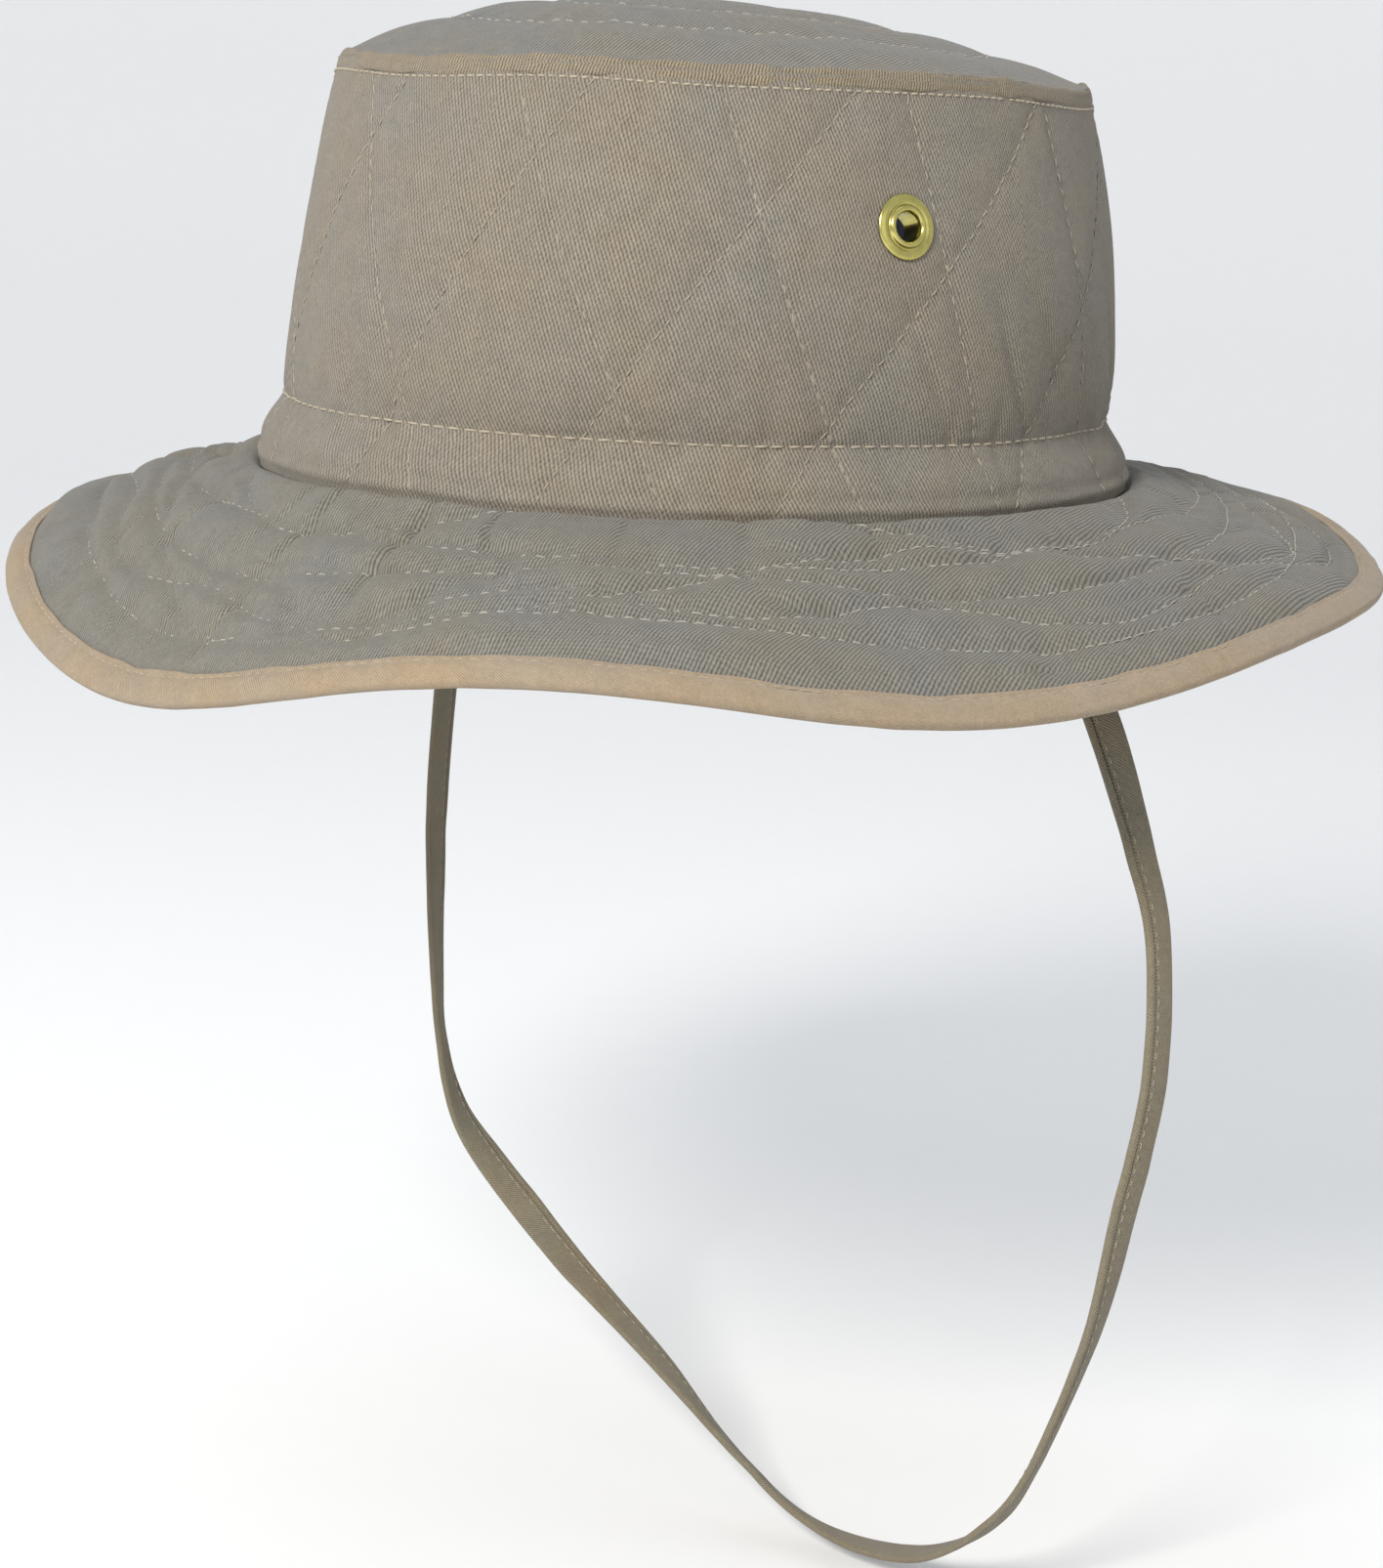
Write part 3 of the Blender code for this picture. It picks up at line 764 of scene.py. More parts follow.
STRAP_CLOTH = twill(
    "strap_twill_cloth", rib=(0.235, 0.205, 0.148), groove=(0.115, 0.098, 0.070),
    warm=(1.0, 0.94, 0.82), cool=(0.93, 0.97, 1.0), pitch=0.56, turn=48.0, contrast=0.8, relief=0.00014,
)
BAND_CLOTH = twill(
    "sweatband_cloth", rib=(0.30, 0.25, 0.17), groove=(0.13, 0.105, 0.07),
    warm=(1.0, 0.94, 0.84), cool=(0.93, 0.95, 0.97), pitch=0.7, turn=45.0, contrast=0.8,
)
NAVY_CLOTH = plain_weave("navy_lining_cloth", (0.030, 0.036, 0.070), (0.008, 0.010, 0.022), 0.45)
PALE_THREAD = thread("pale_quilting_thread", (0.40, 0.375, 0.32), (0.20, 0.185, 0.15))
CROWN_THREAD = thread("crown_quilting_thread", (0.34, 0.30, 0.235), (0.15, 0.13, 0.10))
TAN_THREAD = thread("tan_topstitch_thread", (0.44, 0.38, 0.28), (0.18, 0.145, 0.10))
STRAP_THREAD = thread("strap_stitch_thread", (0.35, 0.31, 0.235), (0.14, 0.12, 0.09))
BRASS = brass("eyelet_brass_metal")


# ---- camera

CAMERA_AWAY = 0.7769
CAMERA_HEIGHT = 0.0862
CAMERA_AZIMUTH = math.radians(40.0)
CAMERA_HEADING = CAMERA_AZIMUTH - math.radians(0.109)
CAMERA_PITCH = math.radians(11.78)
CAMERA_ROLL = math.radians(2.96)
CAMERA_LENS = 77.3


def place_camera():
    """Camera on the wearer's left of the front, a little above the brim, with a slight roll."""
    side = CAMERA_AWAY * math.sin(CAMERA_AZIMUTH)
    front = -CAMERA_AWAY * math.cos(CAMERA_AZIMUTH)
    place = Vector((side, front, CAMERA_HEIGHT))
    level_run = math.cos(CAMERA_PITCH)
    ahead = Vector((
        -math.sin(CAMERA_HEADING) * level_run, math.cos(CAMERA_HEADING) * level_run, -math.sin(CAMERA_PITCH)
    ))
    level = ahead.cross(Vector((0.0, 0.0, 1.0))).normalized()
    above = level.cross(ahead)
    right = math.cos(CAMERA_ROLL) * level + math.sin(CAMERA_ROLL) * above
    up = -math.sin(CAMERA_ROLL) * level + math.cos(CAMERA_ROLL) * above
    data = bpy.data.cameras.new("camera")
    data.lens = CAMERA_LENS
    data.sensor_width = 36.0
    data.clip_start = 0.01
    data.clip_end = 20.0
    made = bpy.data.objects.new("camera", data)
    turn = Matrix((right, up, -ahead)).transposed().to_4x4()
    made.matrix_world = Matrix.Translation(place) @ turn
    bpy.context.scene.collection.objects.link(made)
    bpy.context.scene.camera = made


# ---- stitches

# Stitch styles: pitch, share of it that shows, thread radius and height above the cloth (mm).
QUILT_STITCH = (3.3, 0.70, 0.20, 0.10)
BAND_STITCH = (3.6, 0.78, 0.27, 0.22)
TOP_STITCH = (2.3, 0.74, 0.25, 0.22)
DOME_STITCH = (3.4, 0.70, 0.20, 0.14)
SWEATBAND_STITCH = (3.4, 0.72, 0.22, 0.16)
BRIM_STITCH = (3.5, 0.74, 0.19, 0.14)
BINDING_STITCH = (2.9, 0.72, 0.17, 0.08)
STRAP_STITCH = (3.0, 0.72, 0.19, 0.16)
BAR_STITCH = (2.0, 0.70, 0.20, 0.12)
STITCH_STATIONS = 6
STITCH_SIDES = 6


def unit(vectors):
    return vectors / np.linalg.norm(vectors, axis=1)[:, None]


def stitches(path, normals, style, seed, keep=None):
    """Separate stitches laid along a path: each rises out of the cloth and dives back in.

    keep says for each point of the path whether a stitch may start there.
    """
    pitch, share, radius, height = style
    tangent = unit(np.gradient(path, axis=0))
    side = unit(np.cross(tangent, normals))
    up = np.cross(side, tangent)
    run = run_along(path)
    rng = np.random.default_rng(seed)
    count = int(run[-1] / pitch)
    start = (np.arange(count) + 0.15 + rng.uniform(-0.06, 0.06, count)) * pitch
    length = pitch * (share + rng.uniform(-0.05, 0.05, count))
    if keep is not None:
        on = keep[np.interp(start, run, np.arange(len(run))).astype(int)]
        start, length = start[on], length[on]
        count = len(start)
    t = np.linspace(0.0, 1.0, STITCH_STATIONS)
    at = start[:, None] + length[:, None] * t
    sway = rng.uniform(-0.35, 0.35, (count, 1)) * radius * 2.0 * (t - 0.5)
    arch = np.sin(math.pi * t)
    taper = radius * (0.45 + 0.55 * arch ** 0.5)
    lift = height * arch - 0.55 * radius * (1.0 - arch)

    def along(values):
        return stacked(*(np.interp(at, run, column) for column in values.T))

    centre, side, up = along(path), along(side), along(up)
    centre = centre + up * lift[None, :, None] + side * sway[..., None]
    spin = turn_angles(STITCH_SIDES)[None, None, :, None]
    ring = np.cos(spin) * side[:, :, None, :] + np.sin(spin) * up[:, :, None, :]
    verts = centre[:, :, None, :] + ring * taper[None, :, None, None]
    cap = np.array([(3, 2, 1, 0), (5, 4, 3, 0)])
    far_cap = np.array([(0, 1, 2, 3), (0, 3, 4, 5)]) + (STITCH_STATIONS - 1) * STITCH_SIDES
    one = np.concatenate([tube_walls(STITCH_STATIONS, STITCH_SIDES), cap, far_cap])
    faces = one[None] + (np.arange(count) * STITCH_STATIONS * STITCH_SIDES)[:, None, None]
    return verts.reshape(-1, 3), faces.reshape(-1, 4)


def stitch_piece(name, rows, colour):
    """One piece from many stitch rows."""
    starts = np.cumsum([0] + [len(verts) for verts, _ in rows])
    faces = [row_faces + start for (_, row_faces), start in zip(rows, starts)]
    return make_piece(name, np.concatenate([verts for verts, _ in rows]), np.concatenate(faces), [colour])


def sew(name, rows, colour, *nodes):
    """A stitch piece that rides on the hat."""
    attach(stitch_piece(name, rows, colour), "tan_thread", *nodes)


def surface_row(surface, a, b, style, seed, keep=None, sink=0.0):
    """Stitches over a surface function along its parameters a and b, `sink` above the cloth."""
    path = surface(a, b, sink)
    return stitches(path, unit(surface(a, b, sink + 0.5) - path), style, seed, keep)


# ---- crown

CROWN_AROUND = 600
TOP_AROUND = 360
BRIM_AROUND = 760
BRIM_ROWS_ACROSS = 62
EYELET_HOLE = 4.7
STRIP_DEPTH = 3.3
# Heights of the wall's rows of points, closer together where the stitch rows pinch it.
CROWN_RUNS = ((CROWN_FOOT, 10.0, 17), (10.8, 17.6, 15), (18.9, 80.5, 37), (81.5, 87.2, 11))


def crown_side():
    """Quilted wall: twill outside, navy lining inside, joined round the eyelet holes and both edges."""
    angle = turn_angles(CROWN_AROUND)[:, None]
    z = np.concatenate([np.linspace(*run) for run in CROWN_RUNS])[None, :]
    across = z.shape[1]
    rows = 2 * across
    outer = crown_point(angle, z)
    inner = crown_point(angle, z, thick=WALL_THICK)
    outer[:, 0] = 0.9 * outer[:, 0] + 0.1 * inner[:, 0]
    points = np.concatenate([outer, inner[:, ::-1]], 1)
    u = laid_round(WALL_WEAVE_RADIUS, CROWN_AROUND)[:, None]
    v = np.concatenate([z[0], z[0, ::-1], z[0, :1] - 1.0])[None, :]
    verts, faces, uv = ring_grid(points, u, v)

    middle = angle + 0.5 * TURN / CROWN_AROUND
    hole = eyelet_distance(middle, 0.5 * (z[:, 1:] + z[:, :-1])) < EYELET_HOLE
    keep = np.ones((CROWN_AROUND, rows), bool)
    keep[:, :across - 1] = ~hole
    keep[:, across:rows - 1] = ~hole[:, ::-1]
    slots = np.zeros((CROWN_AROUND, rows), int)
    slots[:, across:rows - 1] = 1
    faces, uv, slots = faces[keep.ravel()], uv[keep.ravel()], slots[keep]

    walls = []
    for i, j in zip(*np.nonzero(hole)):
        i2 = (i + 1) % CROWN_AROUND
        sides = (
            # neighbour across the side, then the side's two ends
            (((i - 1) % CROWN_AROUND, j), (i, j + 1), (i, j)),
            ((i2, j), (i2, j), (i2, j + 1)),
            ((i, j - 1), (i, j), (i2, j)),
            ((i, j + 1), (i2, j + 1), (i, j + 1)),
        )
        for near, first, second in sides:
            if not hole[near]:
                outside = [column * rows + row for column, row in (first, second)]
                inside = [column * rows + rows - 1 - row for column, row in (second, first)]
                walls.append(outside + inside)
    faces = np.concatenate([faces, walls])
    uv = np.concatenate([uv, np.zeros((len(walls), 4, 2))])
    slots = np.concatenate([slots, np.ones(len(walls), int)])
    piece = make_piece("crown_side_quilted", verts, faces, [CROWN_CLOTH, NAVY_CLOTH], slots, uv)
    attach(piece, "crown_twill", "crown_side_outer", "crown_side_batting", "crown_side_lining")


def crown_top():
    """Quilted dome: twill on top, navy lining below, closed round its rim and at its middle."""
    shares = np.concatenate([np.linspace(0.012, 0.9, 62), np.linspace(0.915, 1.0, 8)])[:, None]
    angle = turn_angles(TOP_AROUND)[None, :]
    top = dome_point(angle, shares)
    under = dome_point(angle, shares * 0.985)
    under[..., 2] -= TOP_THICK + 0.2
    verts = np.concatenate([top, under[::-1]]).reshape(-1, 3)
    stations = 2 * len(shares)
    caps = tube_caps(stations, TOP_AROUND)
    faces = np.concatenate([tube_walls(stations, TOP_AROUND)[:, ::-1], caps])
    lining = np.arange(stations - 1) >= len(shares)
    slots = np.concatenate([np.repeat(lining, TOP_AROUND), np.arange(len(caps)) >= len(caps) // 2])
    cloths = [TOP_CLOTH_PAINTED_SHADE, NAVY_CLOTH]
    piece = make_piece("crown_top_quilted", verts, faces, cloths, slots, verts[faces][..., :2])
    attach(piece, "crown_twill", "crown_top_outer", "crown_top_batting", "crown_top_lining")


def section_ring(name, count, section, cloth, uv_radius):
    """A closed ring from section(angle column) -> (count, points, 3) with its weave laid out."""
    points = section(turn_angles(count)[:, None])
    u = laid_round(uv_radius, count)[:, None]
    verts, faces, uv = ring_grid(points, u, run_along(points[0], closed=True))
    return make_piece(name, verts, faces, [cloth], None, uv)


def seam_fold():
    """Rolled fold that stands at the top seam, its lower lip caught by the topstitch."""
    spin = turn_angles(20)[None, :]

    def section(angle):
        u = angle / TURN
        plump = 1.0 + 0.16 * noise(u, 0.0, 70, 1, 41) + 0.10 * noise(u, 0.0, 190, 1, 42)
        across = 0.80 * plump * squared(np.cos(spin), 0.6)
        tall = 1.9 * plump * squared(np.sin(spin), 0.75)
        return offset_plan(angle, FOLD_RADIUS, across - 0.30 * tall, FOLD_Z + seam_wave(angle) + tall)

    attach(section_ring("crown_seam_fold", 720, section, FOLD_CLOTH, 79.0), "crown_twill", "top_seam_fold")


def strip_ring(name, slot_name, cloth, node, low, high, thick, seed, wave):
    """A sewn strip standing inside the wall, with rounded edges and soft ripples."""
    heights = np.linspace(low, high, 12)[None, :]
    rounding = 0.5 * thick * (1.0 - np.array([0.35, 0.85, *([1.0] * 8), 0.85, 0.35]))

    def section(angle):
        ripple = wave * noise(angle / TURN, heights / 40.0, 46, 2, seed) * np.linspace(0.1, 1.0, 12)
        middle = ripple + np.minimum(wall_dent(angle, heights), 0.0) - STRIP_DEPTH
        z = heights + seam_rise(angle, heights)
        outer = offset_plan(angle, wall_radius(heights), middle - rounding, z)
        inner = offset_plan(angle, wall_radius(heights), middle - thick + rounding, z)
        return np.concatenate([outer, inner[:, ::-1]], 1)

    attach(section_ring(name, 360, section, cloth, 84.0), slot_name, node)


def sweatband_stitches():
    """Two rows that hold the folded sweatband: along its foot and under its top edge."""

    def inner_face(angle, z, lift):
        dent = np.minimum(wall_dent(angle, z), 0.0)
        return offset_plan(angle, wall_radius(z), dent - SWEATBAND_FACE - lift, z + seam_rise(angle, z))

    angle = np.linspace(0.0, TURN, 2400)
    rows = [
        surface_row(inner_face, angle, z, SWEATBAND_STITCH, 95 + k, sink=0.12)
        for k, z in enumerate(SWEATBAND_ROWS)
    ]
    sew("sweatband_stitches", rows, TAN_THREAD)


def base_seam():
    """Bound seam allowance under the joint of crown and brim."""
    spin = turn_angles(14)[None, :]

    def section(angle):
        u = angle / TURN
        wide = np.where(np.cos(spin) < 0.0, 2.2 + 0.15 * noise(u, 0.0, 80, 1, 51), 2.2)
        z = -2.42 + 0.42 * np.sin(spin) + 0.06 * noise(u, 0.0, 60, 1, 52)
        return offset_plan(angle, BRIM_BASE, wide * squared(np.cos(spin), 0.5) - 1.68, z)

    attach(section_ring("base_seam_binding", 480, section, TAPE_CLOTH, 90.0), "tan_binding", "base_seam_tape")


def crown_stitches():
    """Quilting, the band above the brim, the topstitch below the fold and the dome's rounds."""
    z = np.linspace(0.5, 85.5, 400)
    rows = []
    seed = 100
    for family, bow in ((RISING, QUILT_BOW), (FALLING, 0.0)):
        for line in family:
            angle = np.radians(quilt_angle(line, bow, z))
            wobble = 0.006 * noise(angle / TURN, z / 60.0, 30, 5, seed)
            clear = eyelet_distance(angle, z) > EYELET_CLEAR
            rows.append(surface_row(crown_point, angle + wobble * 0.3, z, QUILT_STITCH, seed, clear, 0.12))
            seed += 1
    sew("crown_quilt_stitches", rows, CROWN_THREAD)

    angle = np.linspace(0.0, TURN, 2400)
    band = surface_row(crown_point, angle, BAND_Z, BAND_STITCH, 7)
    sew("crown_band_stitches", [band], TAN_THREAD, "band_stitch_thread")
    top = surface_row(crown_point, angle, TOP_STITCH_Z, TOP_STITCH, 8)
    sew("crown_top_stitches", [top], TAN_THREAD, "top_stitch_thread")
    rows = [surface_row(dome_point, angle, share, DOME_STITCH, 60 + k) for k, share in enumerate(TOP_ROWS)]
    sew("crown_dome_stitches", rows, PALE_THREAD)


# ---- brim

BRIM_INNER_SHARE = -0.030
BRIM_INNER_DROP = 1.8


def brim():
    """Quilted brim as one closed padded ring, its outer edge inside the binding."""
    angle = turn_angles(BRIM_AROUND)[:, None]
    share = np.linspace(BRIM_INNER_SHARE, BRIM_END - 0.004, BRIM_ROWS_ACROSS)[None, :]
    top = brim_point(angle, share)
    top[..., 2] -= BRIM_INNER_DROP * np.clip(-share / 0.02, 0.0, 1.0)
    under = brim_under_point(angle, share)
    points = np.concatenate([top, under[:, ::-1]], 1)
    verts, faces, _ = ring_grid(points)
    faces = faces[:, ::-1]
    slope_stretch = 1.06
    weave = (verts[:, :2] * slope_stretch)[faces]
    piece = make_piece("brim_quilted", verts, faces, [BRIM_CLOTH_PAINTED_SHADE], None, weave)
    attach(piece, "brim_twill", "brim_top_cover", "brim_batting", "brim_under_cover")


# Binding tape from its lip to the brim's edge: share of its width, then height over the brim.
BINDING_ACROSS = (0.0, 0.03, 0.10, 0.20, 0.27, 0.35, 0.50, 0.68, 0.85, 1.0)
BINDING_CREST = (0.10, 0.50, 0.60, 0.36, 0.66, 0.92, 1.10, 1.08, 0.88, 0.60)
BINDING_EDGE_POINT = 12
BINDING_ROW = 1.2
BINDING_FACE = 0.36


def binding_section(angle):
    """Folded tape round the edge: flat lips, a dip where it is sewn, and a soft roll at the edge."""
    u = angle / TURN
    across = BINDING_WIDTH * np.array(BINDING_ACROSS)
    crest = np.array(BINDING_CREST)
    pull = 0.13 * noise(u, across / 12.0, 150, 2, 61) + 0.12 * noise(u, across / 9.0, 46, 2, 62)
    lip = 0.35 * noise(u, 0.0, 120, 1, 63) * np.linspace(1.0, 0.0, len(across))
    share = BRIM_END + (across - BINDING_WIDTH + lip) / BRIM_WIDTH
    depth = brim_depth(share)
    top = brim_plain(angle, share, crest + pull)
    low = brim_plain(angle, share, -depth - crest + pull)
    spin = np.linspace(0.5 * math.pi, -0.5 * math.pi, 11)[1:-1]
    half = 0.5 * (brim_depth(1.0) + 2.0 * crest[-1])
    middle = crest[-1] - half
    edge = brim_plain(angle, BRIM_END, middle + half * np.sin(spin) + pull[:, -1:], 0.95 * np.cos(spin))
    inner_low = brim_plain(angle, share[:, 1:], -depth[:, 1:] - 0.08)
    inner_spin = -spin[::2]
    inner_rise = middle + (half - 0.6) * np.sin(inner_spin)
    inner_edge = brim_plain(angle, BRIM_END, inner_rise, 0.35 * np.cos(inner_spin))
    inner_top = brim_plain(angle, share[:, 1:], 0.08)
    return np.concatenate([top, edge, low[:, ::-1], inner_low, inner_edge, inner_top[:, ::-1]], 1)


def brim_binding():
    points = binding_section(turn_angles(960)[:, None])
    u = run_along(points[:, BINDING_EDGE_POINT], closed=True)[:, None]
    verts, faces, uv = ring_grid(points, u, run_along(points[0], closed=True))
    piece = make_piece("brim_edge_binding", verts, faces[:, ::-1], [TAPE_CLOTH], None, uv[:, ::-1])
    attach(piece, "tan_binding", "brim_binding")


def binding_top(angle, share, lift):
    return brim_plain(angle, share, BINDING_FACE + lift)


def binding_low(angle, share, lift):
    return brim_plain(angle, share, -brim_depth(share) - BINDING_FACE - lift)


def brim_stitches():
    """Quilting rows above and below, which sink unevenly, and the row that sews the binding."""
    top_rows = []
    under_rows = []
    angle = np.linspace(0.0, TURN, 3600)
    u = angle / TURN
    left = 0.5 + 0.5 * np.cos(angle + math.radians(115.0))
    for k, row in enumerate(BRIM_ROWS):
        share = row_share(row, angle) + 0.004 * noise(u, 0.0, 90, 1, 300 + k)
        shown = (share > 0.015) & (share < BINDING_START - 0.01)
        share = np.clip(share, 0.0, BINDING_START)
        buried = 0.06 - 0.27 * left ** 2 + 0.16 * noise(u, 0.0, 60, 1, 330 + k)
        top_rows.append(surface_row(brim_point, angle, share, BRIM_STITCH, 70 + k, shown, buried))
        under_rows.append(surface_row(brim_under_point, angle, share, BRIM_STITCH, 80 + k, shown, buried))
    names = [f"brim_stitch_thread_{place}" for place in ("inner", "middle", "outer")]
    sew("brim_quilt_stitches", top_rows, PALE_THREAD, *names)
    sew("brim_under_stitches", under_rows, PALE_THREAD)

    share = BINDING_START + BINDING_ROW / BRIM_WIDTH
    rows = [
        surface_row(binding_top, angle, share, BINDING_STITCH, 90),
        surface_row(binding_low, angle, share, BINDING_STITCH, 91),
    ]
    sew("brim_binding_stitches", rows, TAN_THREAD, "binding_stitch_thread")


# ---- eyelets

EYELET_SIDES = 72
EYELET_RING = (
    # (radius, height above the cloth) round the outer face, down the tube and back inside
    (6.85, 0.55), (6.80, 0.78), (6.55, 0.98), (6.10, 1.16), (5.60, 1.26), (5.15, 1.24), (4.90, 1.14),
    (4.72, 1.10), (4.55, 1.20), (4.38, 1.50), (4.10, 1.78), (3.72, 1.88), (3.38, 1.74), (3.15, 1.40),
    (3.02, 0.85), (3.00, 0.0), (3.00, -2.4), (3.05, -4.1), (3.30, -4.75), (3.60, -4.90), (3.85, -4.70),
    (3.85, -4.20), (3.60, -3.60), (3.60, -0.4), (3.80, 0.35), (4.6, 0.50), (6.3, 0.45),
)
EYELET_BACK = (
    (4.20, -3.95), (4.35, -4.20), (4.9, -4.32), (5.8, -4.26), (6.5, -4.05), (6.85, -3.70), (6.70, -3.55),
    (6.0, -3.75), (4.6, -3.80),
)


def eyelet_frame(side):
    """Placement whose local +Z points straight out of the wall at the eyelet."""
    span = 8.0
    nx, ny = ellipse_normal(EYELET_ANGLE)
    x, y = plan(np.interp(EYELET_Z, WALL_HEIGHTS, WALL_RADII), EYELET_ANGLE)
    low = np.interp(EYELET_Z - span, WALL_HEIGHTS, WALL_RADII)
    high = np.interp(EYELET_Z + span, WALL_HEIGHTS, WALL_RADII)
    away = Vector((side * nx, ny, (low - high) / (2.0 * span))).normalized()
    turn = away.to_track_quat("Z", "Y").to_matrix().to_4x4()
    return Matrix.Translation((side * x, y, EYELET_Z)) @ turn


def rounded_profile(points, steps=3):
    """Closed smooth curve through the points, `steps` points for each one given."""
    p = np.array(points)
    a, b, c, d = np.roll(p, 1, 0), p, np.roll(p, -1, 0), np.roll(p, -2, 0)
    made = [catmull_rom(a, b, c, d, k / steps) for k in range(steps)]
    return np.stack(made, 1).reshape(-1, 2)


def lathe(name, profile, place, node_name, flip=False):
    """A brass ring turned from its profile; flip turns its faces over."""
    profile = rounded_profile(profile)[None]
    spin = turn_angles(EYELET_SIDES)[:, None]
    local = stacked(profile[..., 0] * np.cos(spin), profile[..., 0] * np.sin(spin), profile[..., 1])
    matrix = np.array(place)
    points = local @ matrix[:3, :3].T + matrix[:3, 3]
    verts, faces, _ = ring_grid(points)
    attach(make_piece(name, verts, faces[:, ::-1] if flip else faces, [BRASS]), "eyelet_brass", node_name)


def eyelets():
    for side, tag in ((1.0, "left"), (-1.0, "right")):
        place = eyelet_frame(side)
        lathe(f"eyelet_{tag}_ring", EYELET_RING, place, f"eyelet_{tag}_barrel")
        lathe(f"eyelet_{tag}_back", EYELET_BACK, place, f"eyelet_{tag}_washer", flip=True)


# ---- strap

def spline(points, spacing):
    """Catmull-Rom curve through the points, resampled at even spacing, and its length."""
    p = np.array(points)
    p = np.concatenate([[2 * p[0] - p[1]], p, [2 * p[-1] - p[-2]]])
    steps = np.linspace(0.0, 1.0, 24, endpoint=False)
    fine = [catmull_rom(*p[i:i + 4], t) for i in range(len(p) - 3) for t in steps]
    fine = np.array(fine + [p[-2]])
    run = run_along(fine[:, :3])
    at = np.linspace(0.0, run[-1], int(run[-1] / spacing) + 1)
    return stacked(*(np.interp(at, run, column) for column in fine.T)), run[-1]


def strap_frames():
    """The strap's path with the directions of its width and thickness, and its length."""
    points, length = spline([(x, STRAP_Y, z, t) for x, z, t in STRAP_ROUTE], STRAP_SPACING)
    path = points[:, :3]
    turn = np.radians(points[:, 3])[:, None]
    tangent = unit(np.gradient(path, axis=0))
    side = np.array([0.0, 1.0, 0.0])
    width = side * np.cos(turn) + np.cross(tangent, side) * np.sin(turn)
    return path, width, np.cross(tangent, width), length


# Upper half of the strap's section, to its middle: shares of the half width and half thickness.
STRAP_EDGE = (
    (-1.0, 0.0), (-0.985, 0.5), (-0.93, 0.84), (-0.80, 0.95), (-0.72, 0.96), (-0.68, 0.97), (-0.64, 0.98),
    (-0.57, 0.98), (-0.53, 1.02), (-0.46, 1.02), (-0.38, 1.0), (-0.30, 1.0), (-0.1, 1.0),
)
STRAP_SPACING = 1.6
STRAP_FOLD = 0.605
STRAP_ROW = 0.38


def strap():
    """Folded tape: the fold's edge and a row of stitches run along the side inside the loop."""
    path, width, thick, length = strap_frames()
    half = 0.5 * np.array([STRAP_WIDTH, STRAP_THICK])
    upper = [*STRAP_EDGE, *((-x, y) for x, y in STRAP_EDGE[::-1])]
    section = np.array(upper + [(x, -y) for x, y in upper[-2:0:-1]])
    reach = np.abs(section[:, 0])
    sunk = np.where(np.abs(reach - STRAP_FOLD) < 0.04, 0.75, 0.0)
    sunk = sunk + np.where(np.abs(reach - STRAP_ROW) < 0.02, 0.10, 0.0)
    count = len(path)
    u = np.arange(count) / count
    ripple = 0.10 * noise(u, 0.0, 90, 1, 71)
    wide = 1.0 + 0.02 * noise(u, 0.0, 60, 1, 72)
    place = np.arange(count)[:, None] / (count - 1)
    first_part = np.clip((STRAP_TURN[0] - place) * 12.0, 0.0, 1.0) * (section[:, 0] > 0.0)
    last_part = np.clip((place - STRAP_TURN[1]) * 12.0, 0.0, 1.0) * (section[:, 0] < 0.0)
    tall = section[:, 1] * (1.0 - sunk * (first_part + last_part)) * half[1] + ripple[:, None]
    across = section[:, 0] * half[0] * wide[:, None]
    points = path[:, None] + width[:, None] * across[..., None] + thick[:, None] * tall[..., None]

    sides = len(section)
    run = np.arange(count) * length / (count - 1)
    grid = stacked(run[:, None], run_along(section * half, closed=True)[None, :])
    uv = np.stack([grid[:-1, :-1], grid[:-1, 1:], grid[1:, 1:], grid[1:, :-1]], -2).reshape(-1, 4, 2)
    caps = tube_caps(count, sides)
    uv = np.concatenate([uv, np.tile([(0, 0), (1, 0), (1, 1), (0, 1)], (len(caps), 1, 1))])
    faces = np.concatenate([tube_walls(count, sides), caps])
    piece = make_piece("chin_strap_tape", points.reshape(-1, 3), faces, [STRAP_CLOTH], None, uv)

    rows = []
    begin, end = (np.array(STRAP_TURN) * count).astype(int)
    for part, inside in ((slice(0, begin), 1.0), (slice(end, count), -1.0)):
        for face in (1.0, -1.0):
            line = path + width * (STRAP_ROW * inside * half[0]) + thick * face * (half[1] * 0.90)
            rows.append(stitches(line[part], (thick * face)[part], STRAP_STITCH, 73))
    sewn = stitch_piece("chin_strap_stitches", rows, STRAP_THREAD)

    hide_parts("chin_strap")
    for item in (piece, sewn):
        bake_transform(item)


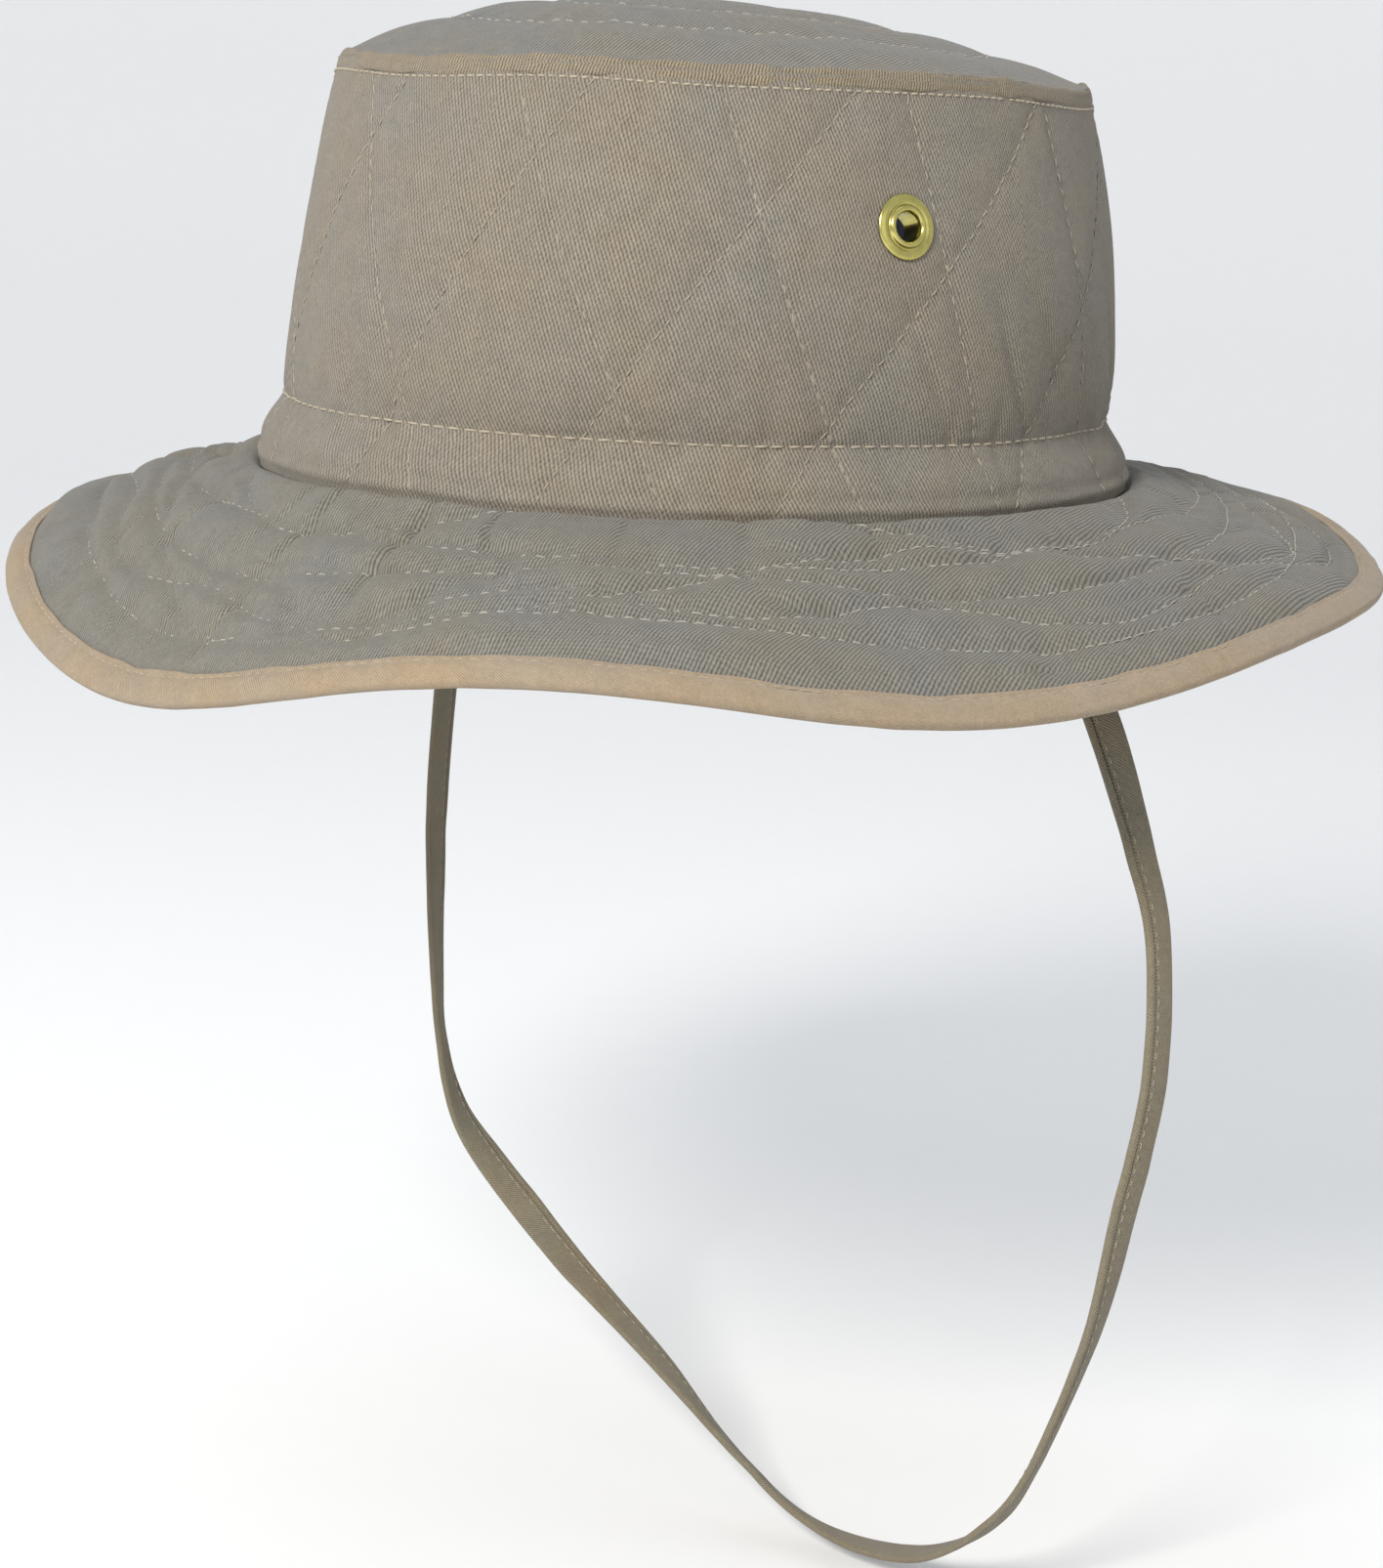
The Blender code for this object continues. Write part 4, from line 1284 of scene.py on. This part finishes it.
def strap_ends():
    """The strap's sewn ends inside the sweatband: rounded tabs with bars of stitches."""
    spin = turn_angles(24)
    across = squared(np.cos(spin), 0.35)
    deep = squared(np.sin(spin), 0.35)
    h = np.linspace(-1.0, 1.0, 14)[:, None]
    shrink = 1.0 - 0.12 * np.maximum(0.0, np.abs(h) - 0.86) / 0.14
    bulge = 0.92 + 0.08 * np.cos(7.0 * h)
    faces = np.concatenate([tube_walls(len(h), len(spin)), tube_caps(len(h), len(spin))])
    for tag in ("left", "right"):
        low, high = (np.array(corner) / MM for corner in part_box(f"strap_anchor_{tag}"))
        middle = 0.5 * (low + high)
        half = 0.5 * (high - low)
        inward = -np.sign(middle[0])
        verts = middle + half * stacked(deep * bulge, across * shrink, h).reshape(-1, 3)
        piece = make_piece(f"strap_end_{tag}", verts, faces, [STRAP_CLOTH], None, verts[faces][..., 1:])
        attach(piece, "strap_twill", f"strap_anchor_{tag}")
        bars = []
        for level in (-0.2, 0.05, 0.3, 0.55, 0.8):
            path = middle + half * stacked(inward * 0.98, np.linspace(-0.78, 0.78, 30), level)
            bars.append(stitches(path, np.tile([inward, 0.0, 0.0], (30, 1)), BAR_STITCH, 75))
        sew(f"strap_end_{tag}_stitches", bars, STRAP_THREAD)


# ---- stage

def area_light(name, place, size, power, colour):
    data = bpy.data.lights.new(name, "AREA")
    data.shape = "DISK"
    data.size = size
    data.energy = power
    data.color = colour
    made = bpy.data.objects.new(name, data)
    aim = Vector(LIGHT_TARGET) - Vector(place)
    made.matrix_world = Matrix.Translation(place) @ aim.to_track_quat("-Z", "Y").to_matrix().to_4x4()
    bpy.context.scene.collection.objects.link(made)


STAGE_SIDES = 96
STAGE_GAP = 3.0
WORLD_COLOUR = (0.93, 0.96, 1.0, 1.0)
WORLD_STRENGTH = 0.77
LIGHT_TARGET = (0.0, 0.0, 0.03)
STAGE_RADII = (400.0, 900.0, 1400.0, 1800.0, 2200.0, 2500.0, 2700.0, 2800.0, 2830.0)
STAGE_RISES = (0.0, 0.0, 0.0, 30.0, 140.0, 340.0, 620.0, 900.0, 1200.0)
LIGHTS = (
    # name, place, size (m), power (W), colour
    ("key", (0.40, -1.47, 0.88), 0.5, 33.5, (1.0, 0.97, 0.92)),
    ("sky", (-0.5, 0.3, 1.9), 1.2, 3.5, (0.88, 0.94, 1.0)),
    ("fill", (1.5, -0.5, 0.5), 1.2, 2.0, (1.0, 0.97, 0.93)),
)


def stage():
    """Pale sweep: a floor just under the strap that curves up into a wall all the way round."""
    floor = CAD_BOX[0].z / MM - STAGE_GAP
    spin = turn_angles(STAGE_SIDES)
    radii = np.array(STAGE_RADII)[:, None]
    heights = np.array(STAGE_RISES)[:, None] + floor
    verts = stacked(radii * np.cos(spin), radii * np.sin(spin), heights).reshape(-1, 3)
    faces = tube_walls(len(STAGE_RADII), STAGE_SIDES)
    made = make_piece("backdrop", verts, faces, [paper("backdrop_paper", (0.86, 0.86, 0.86))])
    disc = bpy.data.meshes.new("floor_disc")
    disc.from_pydata(verts[:STAGE_SIDES] * MM, [], [tuple(range(STAGE_SIDES))])
    disc.materials.append(made.data.materials[0])
    floor_disc = bpy.data.objects.new("floor", disc)
    bpy.context.scene.collection.objects.link(floor_disc)

    world = bpy.data.worlds.new("studio")
    world.use_nodes = True
    background = world.node_tree.nodes["Background"]
    background.inputs["Color"].default_value = WORLD_COLOUR
    background.inputs["Strength"].default_value = WORLD_STRENGTH
    bpy.context.scene.world = world
    for name, place, size, power, colour in LIGHTS:
        area_light(name, place, size, power, colour)


# ---- build

place_camera()
strap()
strap_ends()
crown_side()
crown_top()
seam_fold()
base_seam()
strip_ring(
    "sweatband_folded", "sweatband_cotton", BAND_CLOTH, "sweatband",
    low=-0.6, high=31.0, thick=1.2, seed=81, wave=0.25,
)
strip_ring(
    "crown_inner_seam_tape", "navy_lining", NAVY_CLOTH, "top_seam_tape",
    low=74.0, high=83.0, thick=0.5, seed=82, wave=0.1,
)
sweatband_stitches()
crown_stitches()
brim()
brim_binding()
brim_stitches()
eyelets()
stage()
bpy.context.scene.view_settings.view_transform = "Standard"
